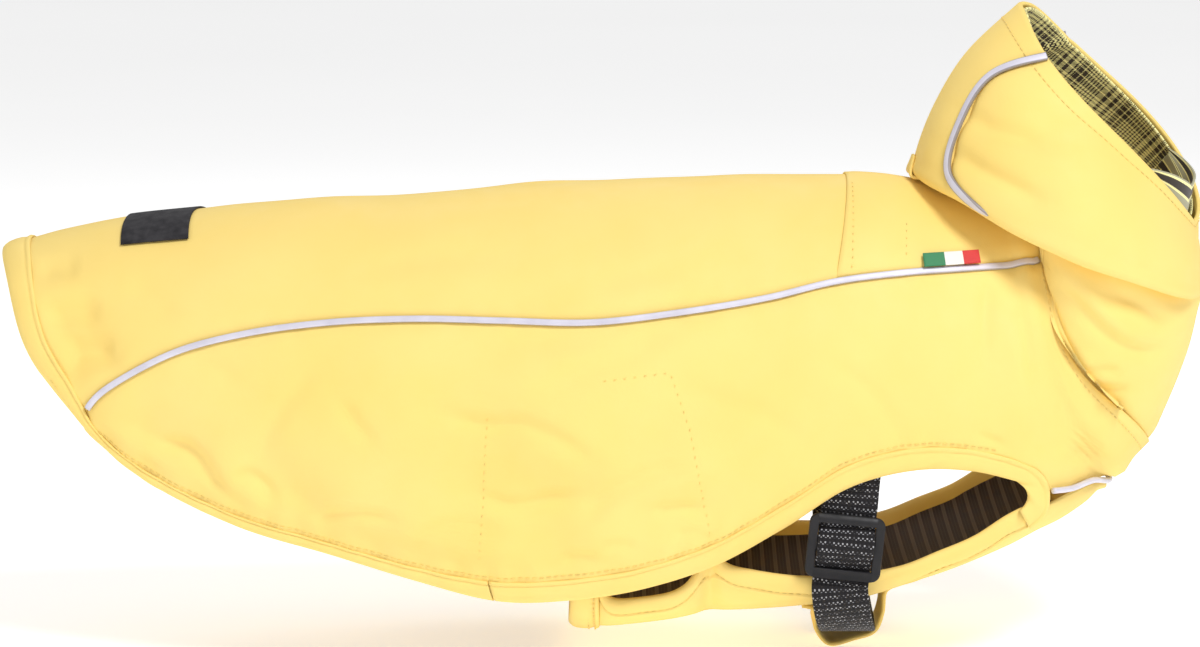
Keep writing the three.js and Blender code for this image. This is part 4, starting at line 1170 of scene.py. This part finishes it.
def build_hood():
    cloth = look_of("coat_cloth")
    rings = even_rows(hood_form, HOOD_FOOT_RING, RIM_RING, 100, 124)
    for name, side in SIDES:
        def panel(u, v, side=side):
            row = row_at(HOOD, u)
            edge = gap_turn(row["half"], HOOD_SEAM_GAP)
            return hood.point(u, side * (row["seam"] + edge + (180 - 2 * edge - row["seam"]) * v))

        shell(f"hood_side_{name}_cloth", Skin(panel, -side), rings, np.linspace(0, 1, 91),
              sizes().cloth_mm, cloth, [f"hood_side_{name}"])

    def crown(u, v):
        row = row_at(HOOD, u)
        return hood.point(u, v * (row["seam"] - gap_turn(row["half"], HOOD_SEAM_GAP)))

    shell("hood_crown_cloth", Skin(crown), rings, np.linspace(-1, 1, 61), sizes().cloth_mm, cloth,
          ["hood_crown"])

    def lining(u, v):
        depth = LINING_DEPTH + LINING_EDGE_DEPTH * (1 - smooth(u, LINING_RING, LINING_RING + 0.5))
        return hood.point(u, v) - hood.out(u, v) * depth[..., None]

    ring_shell("hood_lining_cloth", Skin(lining), even_rows(hood_form, LINING_RING, RIM_RING, 100, 70),
               np.linspace(0, 360, 241), sizes().lining_mm, look_of("coat_plaid"), ["hood_lining"])

    inside = hood.lifted(-THROAT_DEPTH)

    def throat(u, v):
        lip = row_at(THROAT_LIP, v)
        place = THROAT_RING + (RIM_RING - THROAT_RING) * np.minimum(u, 1)
        point = inside.point(place, lip["turn"])
        out = hood.out(np.full(u.shape, float(RIM_RING)), lip["turn"])
        out[..., 2] = 0
        out = unit(out)
        above = np.maximum(u - 1, 0)[..., None] * lip["rise"][..., None]
        return point + above * (out * LIP_LEAN + np.array([0, 0, 1]))

    lip_places = np.linspace(0, len(THROAT_LIP["rows"]) - 1, 121)
    shell("throat_lining_cloth", Skin(throat), np.linspace(0, 2, 31), lip_places, sizes().lining_mm,
          look_of("coat_throat"), ["throat_lining"])

    line = smooth_path(HOOD_TAB_LINE, 60)

    def tab(u, v):
        share = np.clip(u, 0, 1) * (len(line) - 1)
        x, z, half = (np.interp(share, np.arange(len(line)), line[:, axis]) for axis in range(3))
        return np.stack([x, v * half, z - TAB_SAG * v * v * half], -1)

    shell("hood_tab_cloth", Skin(tab, 1), np.linspace(STEP, 1 - STEP, 30), np.linspace(-1, 1, 25),
          HOOD_TAB_THICK, cloth, ["hood_tab"])


def along_skin(skin, rows, turns, lift):
    """Stations of a strip on a skin: middle, across and out."""
    middle = skin.lifted(lift).point(rows, turns)
    out = skin.out(rows, turns)
    along = unit(np.gradient(middle, axis=0))
    return middle, unit(np.cross(along, out)), out


def build_piping():
    look = look_of("coat_piping")
    size = sizes()
    profile = piping_profile(size.piping_width_mm, size.piping_height_mm)
    wide_profile = piping_profile(size.hood_piping_width_mm, size.piping_height_mm)
    for name, side in SIDES:
        rows = even_rows(body_form, *PIPING_ROWS, 60, 240)
        turns = side * row_at(BODY, rows)["seam"]
        strip(f"back_piping_{name}_cord", *along_skin(body_form, rows, turns, PIPING_LIFT), profile,
              look, "piping", [f"back_piping_{name}"])
        rings = even_rows(hood_form, FOLD_RING, RIM_RING, 45, 90)
        turns = side * row_at(HOOD, rings)["seam"]
        strip(f"hood_piping_{name}_cord", *along_skin(hood_form, rings, turns, PIPING_LIFT),
              wide_profile, look, "piping", [f"hood_piping_{name}"])
    rows = np.linspace(CHEST_SEAM_ROW - 0.3, CENTRE_FRONT_ROW, 60)
    halves = []
    for side in (1, -1):
        turns = side * row_at(BODY, rows)["wrap"]
        halves.append((body_form.point(rows, turns), body_form.out(rows, turns)))
    seam = np.concatenate([halves[0][0], halves[1][0][-2::-1]])
    out = np.concatenate([halves[0][1], halves[1][1][-2::-1]])
    along = unit(np.gradient(seam, axis=0))
    level = unit(np.stack([along[:, 1], -along[:, 0], np.zeros(len(seam))], -1))
    away = unit(out + level)
    middle = smooth_path((seam + away * CHEST_PIPING_LIFT)[::17], len(seam))
    strip("chest_piping_cord", middle, unit(np.cross(along, away)), away, round_profile(2.4, 2.4, 12),
          look, "piping", ["chest_piping"])


def build_strap():
    width = sizes().webbing_width_mm
    tilt = math.radians(SLIDER_PLACE["tilt"])
    weave = [(SLIDER_PLACE["x"] - down * math.sin(tilt), SLIDER_PLACE["y"] - out,
              SLIDER_PLACE["z"] - down * math.cos(tilt)) for down, out in STRAP_WEAVE]
    path = smooth_path(STRAP_TOP + weave + STRAP_REST, 320)
    across, out = directions(path, np.array([1.0, 0, 0]))
    strip("chest_strap_webbing", path, across, out, flat_profile(width, sizes().webbing_mm, 9),
          look_of("coat_webbing"), "webbing", ["chest_strap"])
    loop = smooth_path([(x, 0, z) for x, z in BELT_LOOP], 90)
    across, out = directions(loop, np.array([0, 1.0, 0]))
    strip("belt_loop_cloth", loop, across, out, flat_profile(2 * BELT_LOOP_HALF, 1.6, 9),
          look_of("coat_cloth"), "cloth", ["belt_loop"])
    build_slider()


def build_slider():
    """Three-bar slider: a grid with two openings, extruded, with round corners and soft edges."""
    size = sizes()
    half_x, half_y = size.slider_width_mm / 2, size.slider_height_mm / 2
    xs = [-half_x, -half_x + size.slider_side_mm, half_x - size.slider_side_mm, half_x]
    bar = size.slider_bar_mm
    ys = [-half_y, -half_y + bar, -bar / 2, bar / 2, half_y - bar, half_y]
    bm = bmesh.new()
    bmesh.ops.create_grid(bm, x_segments=3, y_segments=5, size=1)
    for vert in bm.verts:
        column, row = round((vert.co.x + 1) / 2 * 3), round((vert.co.y + 1) / 2 * 5)
        vert.co = Vector((xs[column], ys[row], -size.slider_mm / 2))
    centres = [(face, face.calc_center_median()) for face in bm.faces]
    windows = [face for face, centre in centres if abs(centre.x) < xs[2] and bar / 2 < abs(centre.y) < ys[4]]
    bmesh.ops.delete(bm, geom=windows, context="FACES")
    walls = bmesh.ops.extrude_face_region(bm, geom=bm.faces[:])
    top = [item for item in walls["geom"] if isinstance(item, bmesh.types.BMVert)]
    bmesh.ops.translate(bm, verts=top, vec=Vector((0, 0, size.slider_mm)))
    bmesh.ops.recalc_face_normals(bm, faces=bm.faces)
    corners = [edge for edge in bm.edges if abs(edge.verts[0].co.x) > half_x - 0.01
               and abs(edge.verts[0].co.y) > half_y - 0.01 and abs(edge.verts[1].co.y) > half_y - 0.01
               and abs(edge.verts[0].co.z - edge.verts[1].co.z) > 1]
    bmesh.ops.bevel(
        bm, geom=corners, offset=SLIDER_CORNER, segments=8, profile=0.5, affect="EDGES", material=-1)
    sharp = [edge for edge in bm.edges if edge.is_manifold and edge.calc_face_angle() > math.radians(50)]
    bmesh.ops.bevel(
        bm, geom=sharp, offset=SLIDER_SOFT, segments=4, profile=0.5, affect="EDGES", material=-1)
    for face in bm.faces:
        face.smooth = True
    place = Matrix.Translation(Vector((SLIDER_PLACE["x"], SLIDER_PLACE["y"], SLIDER_PLACE["z"])))
    turn = Matrix.Rotation(math.radians(SLIDER_PLACE["tilt"]), 4, "Y") @ Matrix.Rotation(math.pi / 2, 4, "X")
    bmesh.ops.transform(bm, matrix=Matrix.Scale(MM, 4) @ place @ turn, verts=bm.verts)
    return finish_piece("slider_buckle_plastic", bm, look_of("coat_plastic"), ["slider_buckle"])


def build_labels():
    slanted = Skin(lambda u, v: body_form.point(u - LABEL["slant"] * v / LABEL["turn"], v))
    label_skin = slanted.lifted(LABEL["lift"])
    shell("tail_label_patch", label_skin, np.linspace(LABEL["rear"], LABEL["front"], 40),
          np.linspace(-LABEL["turn"], LABEL["turn"], 61), LABEL["thick"], look_of("coat_label"),
          ["tail_label"])

    def ribbon(u, v):
        row = row_at(BODY, u)
        low = row["seam"] - np.degrees(FLAG["seam_gap"] / row["half"])
        return body_form.point(u, low - v * np.degrees(FLAG["height"] / row["half"]))

    shell("flag_tab_ribbon", Skin(ribbon, 1).lifted(FLAG["lift"]),
          np.linspace(FLAG["rear"], FLAG["front"], 31), np.linspace(0, 1, 13), FLAG["thick"],
          look_of("coat_flag"), ["flag_tab"], share_runs=True)


def stitch_row(bm, points, out, pitch, length, radius):
    """Stitches along a line of points: short soft beads lying on the cloth."""
    run = run_of(points)
    count = max(int(run[-1] / pitch), 1)
    at = (np.arange(count) + 0.5) * run[-1] / count
    middle = np.stack([np.interp(at, run, points[:, axis]) for axis in range(3)], -1)
    along = unit(np.stack([np.interp(at, run, np.gradient(points[:, axis])) for axis in range(3)], -1))
    normal = np.stack([np.interp(at, run, out[:, axis]) for axis in range(3)], -1)
    normal = unit(normal - along * (normal * along).sum(-1, keepdims=True))
    row = bmesh.new()
    for centre, forward, up in zip(middle, along, normal):
        across = np.cross(up, forward)
        turn = Matrix([[*(value * scale for value, scale in zip(line, (length / 2, radius, radius))), place]
                       for line, place in zip(np.stack([forward, across, up], -1), centre)] + [[0, 0, 0, 1]])
        bmesh.ops.create_uvsphere(row, u_segments=6, v_segments=5, radius=1,
                                  matrix=Matrix.Scale(MM, 4) @ turn @ Matrix.Rotation(math.pi / 2, 4, "Y"))
    mesh = bpy.data.meshes.new("stitch_row")
    row.to_mesh(mesh)
    row.free()
    bm.from_mesh(mesh)
    bpy.data.meshes.remove(mesh)


def build_stitches():
    size = sizes()
    bm = bmesh.new()

    def sew(points, out, pitch=1.0, length=1.0):
        stitch_row(bm, points, out, size.stitch_pitch_mm * pitch, size.stitch_mm * length,
                   size.stitch_radius_mm)

    for _, side in SIDES:
        rows = even_rows(body_form, *HEM_STITCH_ROWS, 110, 400)
        row = row_at(BODY, rows)
        turns = side * (row["wrap"] - np.degrees((row["band"] + HEM_STITCH_GAP) / row["half"]))
        sew(body.lifted(STITCH_LIFT["cloth"]).point(rows, turns), body.out(rows, turns))
        turns = side * np.linspace(0, 88, 60)
        rows = np.full(60, TAIL_STITCH_ROW)
        sew(body_form.lifted(STITCH_LIFT["tail_band"]).point(rows, turns), body_form.out(rows, turns))
        turn = row_at(BODY, NECK_STITCH_ROW)
        turns = side * np.linspace(turn["seam"] + 3, 168, 90)
        rows = np.full(90, NECK_STITCH_ROW)
        sew(body.lifted(STITCH_LIFT["cloth"]).point(rows, turns), body.out(rows, turns))
        for line in PATCH_STITCHES:
            u, v = place_on(body_form, line, 40)
            sew(body.lifted(STITCH_LIFT["cloth"]).point(u, side * v), body.out(u, side * v), 1.25, 0.5)
        for line in YOKE_STITCHES:
            u, v = place_on(body_form, line, 20)
            sew(body.lifted(STITCH_LIFT["yoke"]).point(u, side * v), body.out(u, side * v), 1.25, 0.5)
        for start, end, width in BELLY_STITCHES:
            line = even_rows(belly_form, start, end, BELLY_BAND_TURN, 90)
            edge, inner, out = belly_line(side, line, width)
            sew(edge + (inner - edge) * BAND_STITCH_SHARE + out * STITCH_LIFT["belly_band"], out)
    turns = np.linspace(-78, 78, 120)
    for row in REAR_STITCH_ROWS:
        rows = np.full(120, row)
        sew(belly_form.lifted(STITCH_LIFT["rear_band"]).point(rows, turns), belly_form.out(rows, turns))
    turns = np.linspace(-179, 179, 300)
    rings = np.full(300, RIM_STITCH_RING)
    sew(hood.lifted(STITCH_LIFT["cloth"]).point(rings, turns), hood.out(rings, turns))
    cloth = finish_piece("cloth_stitching", bm, look_of("coat_thread"))
    for face in cloth.data.polygons:
        face.use_smooth = True


def build_stage():
    scene = bpy.context.scene
    bm = bmesh.new()
    bmesh.ops.create_grid(bm, x_segments=1, y_segments=1, size=FLOOR_HALF,
                          matrix=Matrix.Translation(Vector((0, 0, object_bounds()[0].z))))
    mesh = bpy.data.meshes.new("studio_floor")
    bm.to_mesh(mesh)
    bm.free()
    mesh.materials.append(look_of("studio_floor"))
    floor = bpy.data.objects.new("studio_floor", mesh)
    scene.collection.objects.link(floor)
    floor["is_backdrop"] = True
    world = bpy.data.worlds.new("studio")
    world.use_nodes = True
    background = next(node for node in world.node_tree.nodes if node.type == "BACKGROUND")
    background.inputs["Color"].default_value = (1, 1, 1, 1)
    background.inputs["Strength"].default_value = WORLD_LIGHT
    scene.world = world
    scene.view_settings.view_transform = "Standard"
    target = Vector(CAMERA["target"]) * MM
    for name, place, size, power, colour in STUDIO_LIGHTS:
        data = bpy.data.lights.new(name, "AREA")
        data.shape, data.size, data.energy, data.color = "DISK", size, power, colour
        light = bpy.data.objects.new(name, data)
        light.location = place
        light.rotation_mode = "QUATERNION"
        light.rotation_quaternion = (target - Vector(place)).to_track_quat("-Z", "Y")
        scene.collection.objects.link(light)
    data = bpy.data.cameras.new("studio_camera")
    data.lens, data.sensor_width = CAMERA["lens"], CAMERA["sensor"]
    data.clip_start, data.clip_end = 0.05, 20
    camera = bpy.data.objects.new("studio_camera", data)
    rise = math.radians(CAMERA["elevation"])
    back = Vector((0, -math.cos(rise), math.sin(rise)))
    camera.location = target + back * CAMERA["distance"] * MM
    camera.rotation_mode = "QUATERNION"
    camera.rotation_quaternion = (-back).to_track_quat("-Z", "Y")
    scene.collection.objects.link(camera)
    scene.camera = camera


# Lights: name, place in metres, size in metres, power in watts, colour
STUDIO_LIGHTS = [
    ("key_light", (0.55, -1.0, 1.35), 0.55, 21, (1, 1, 1)),
    ("side_light", (-1.3, -0.7, 0.5), 0.6, 2, (1, 0.97, 0.9)),
    ("back_light", (-0.2, 1.0, 0.9), 0.8, 3, (1, 1, 1)),
    ("bounce_light", (0, -1.0, -0.6), 1.2, 2.2, (1, 0.8, 0.42)),
]


# Add-on


def length_prop(name, description, default):
    return FloatProperty(name=name, description=description, default=default, min=0.1, precision=2)


def colour_prop(name, description, default):
    return FloatVectorProperty(
        name=name, description=description, default=default, subtype="COLOR", min=0, max=1)


class CoatSizes(bpy.types.PropertyGroup):
    """Sizes of the coat's cloth and trims, in millimetres."""

    cloth_mm: length_prop("Cloth", "Thickness of the outer cloth, in mm", 1.6)
    lining_mm: length_prop("Lining", "Thickness of the linings, in mm", 1.0)
    piping_width_mm: length_prop("Piping width", "Width of the body's piping that shows, in mm", 2.5)
    hood_piping_width_mm: length_prop("Hood piping width", "Width of the hood's piping, in mm", 3.2)
    piping_height_mm: length_prop("Piping height", "Height of the piping's cord, in mm", 2.2)
    webbing_width_mm: length_prop("Webbing width", "Width of the chest strap, in mm", 22.0)
    webbing_mm: length_prop("Webbing", "Thickness of the chest strap, in mm", 1.5)
    stitch_mm: length_prop("Stitch length", "Length of one stitch, in mm", 2.1)
    stitch_pitch_mm: length_prop("Stitch pitch", "Distance from one stitch to the next, in mm", 2.8)
    stitch_radius_mm: length_prop("Stitch radius", "Half the thickness of the thread, in mm", 0.26)
    slider_width_mm: length_prop("Slider width", "Width of the slider, in mm", 29.5)
    slider_height_mm: length_prop("Slider height", "Height of the slider, in mm", 25.4)
    slider_mm: length_prop("Slider", "Thickness of the slider, in mm", 2.4)
    slider_side_mm: length_prop("Slider side", "Width of the slider's sides, in mm", 3.6)
    slider_bar_mm: length_prop("Slider bar", "Width of the slider's bars, in mm", 3.7)


class CoatColours(bpy.types.PropertyGroup):
    """Colours of the coat and of the studio."""

    cloth: colour_prop("Cloth", "Outer cloth", (0.94, 0.71, 0.225))
    cloth_shade: colour_prop("Cloth shade", "Outer cloth's darker tone", (0.93, 0.68, 0.19))
    thread: colour_prop("Thread", "Stitching on the outer cloth", (0.70, 0.52, 0.14))
    piping: colour_prop("Piping", "Reflective piping", (0.72, 0.70, 0.80))
    # Painted shade along the piping's sides, where it enters the seam
    piping_rim: colour_prop("Piping rim", "Sides of the piping", (0.30, 0.27, 0.27))
    piping_shade: colour_prop("Piping shade", "Reflective piping's darker tone", (0.60, 0.58, 0.68))
    plaid_light: colour_prop("Plaid light", "Light thread of the hood's lining", (1.0, 0.93, 0.42))
    plaid_dark: colour_prop("Plaid dark", "Dark thread of the hood's lining", (0.035, 0.026, 0.018))
    throat_grey: colour_prop("Throat grey", "Middle stripes of the throat's lining", (0.42, 0.40, 0.26))
    lining_dark: colour_prop("Dark lining", "Belly's lining", (0.035, 0.02, 0.016))
    lining_stripe: colour_prop("Lining stripe", "Stripes of the belly's lining", (0.13, 0.10, 0.085))
    webbing: colour_prop("Webbing", "Chest strap", (0.009, 0.008, 0.010))
    webbing_dot: colour_prop("Webbing dots", "Woven dots of the chest strap", (0.42, 0.42, 0.45))
    plastic: colour_prop("Plastic", "Slider", (0.013, 0.013, 0.015))
    plastic_worn: colour_prop("Worn plastic", "Slider's lighter tone", (0.019, 0.018, 0.021))
    label: colour_prop("Label", "Bare patch at the tail", (0.014, 0.013, 0.016))
    label_thread: colour_prop("Label thread", "Weave of the patch", (0.04, 0.038, 0.042))
    flag_green: colour_prop("Ribbon green", "Ribbon's first third", (0.03, 0.22, 0.09))
    flag_white: colour_prop("Ribbon white", "Ribbon's middle third", (0.85, 0.83, 0.78))
    flag_red: colour_prop("Ribbon red", "Ribbon's last third", (0.62, 0.03, 0.035))
    floor: colour_prop("Floor", "Studio floor", (0.93, 0.93, 0.93))
    floor_shade: colour_prop("Floor shade", "Studio floor's darker tone", (0.90, 0.90, 0.90))


def operator(name, label, text, build):
    """An operator that makes one group of pieces."""

    def execute(self, context):
        build()
        return {"FINISHED"}

    title = "".join(word.capitalize() for word in name.split("_"))
    return type(f"COAT_OT_{title}", (bpy.types.Operator,), {
        "bl_idname": f"coat.{name}", "bl_label": label, "__doc__": text, "execute": execute})


OPERATORS = [
    operator("build_back", "Back and Yoke", "Makes the back panel and the shoulder yoke", build_back),
    operator("build_sides", "Side Panels", "Makes both side panels", build_sides),
    operator("build_bands", "Hem and Leg Bands", "Binds the hems and the leg holes", build_bands),
    operator("build_belly", "Belly Panel", "Makes the belly panel with its bands and lining", build_belly),
    operator("build_hood", "Hood", "Makes the hood with its linings and tab", build_hood),
    operator("build_piping", "Piping", "Lays the reflective piping in the seams", build_piping),
    operator("build_strap", "Chest Strap", "Makes the webbing, its slider and the cloth loop", build_strap),
    operator("build_labels", "Labels", "Sews on the bare patch and the ribbon", build_labels),
    operator("build_stitches", "Stitching", "Sews the rows of stitches", build_stitches),
    operator("build_stage", "Studio", "Makes the floor, lights and camera", build_stage),
]


class COAT_PT_panel(bpy.types.Panel):
    """Lists the coat's operators, sizes and colours in the sidebar."""

    bl_label = "Raincoat"
    bl_idname = "COAT_PT_panel"
    bl_space_type = "VIEW_3D"
    bl_region_type = "UI"
    bl_category = "Raincoat"

    def draw(self, context):
        for made in OPERATORS:
            self.layout.operator(made.bl_idname)
        for group in (context.scene.coat_sizes, context.scene.coat_colours):
            for name in group.__annotations__:
                self.layout.prop(group, name)


CLASSES = (CoatSizes, CoatColours, *OPERATORS, COAT_PT_panel)


def register():
    for made in CLASSES:
        bpy.utils.register_class(made)
    bpy.types.Scene.coat_sizes = PointerProperty(type=CoatSizes)
    bpy.types.Scene.coat_colours = PointerProperty(type=CoatColours)


def unregister():
    del bpy.types.Scene.coat_sizes
    del bpy.types.Scene.coat_colours
    for made in reversed(CLASSES):
        bpy.utils.unregister_class(made)


def main():
    register()
    for made in OPERATORS:
        getattr(bpy.ops.coat, made.bl_idname.split(".")[1])()


if __name__ == "__main__":
    main()
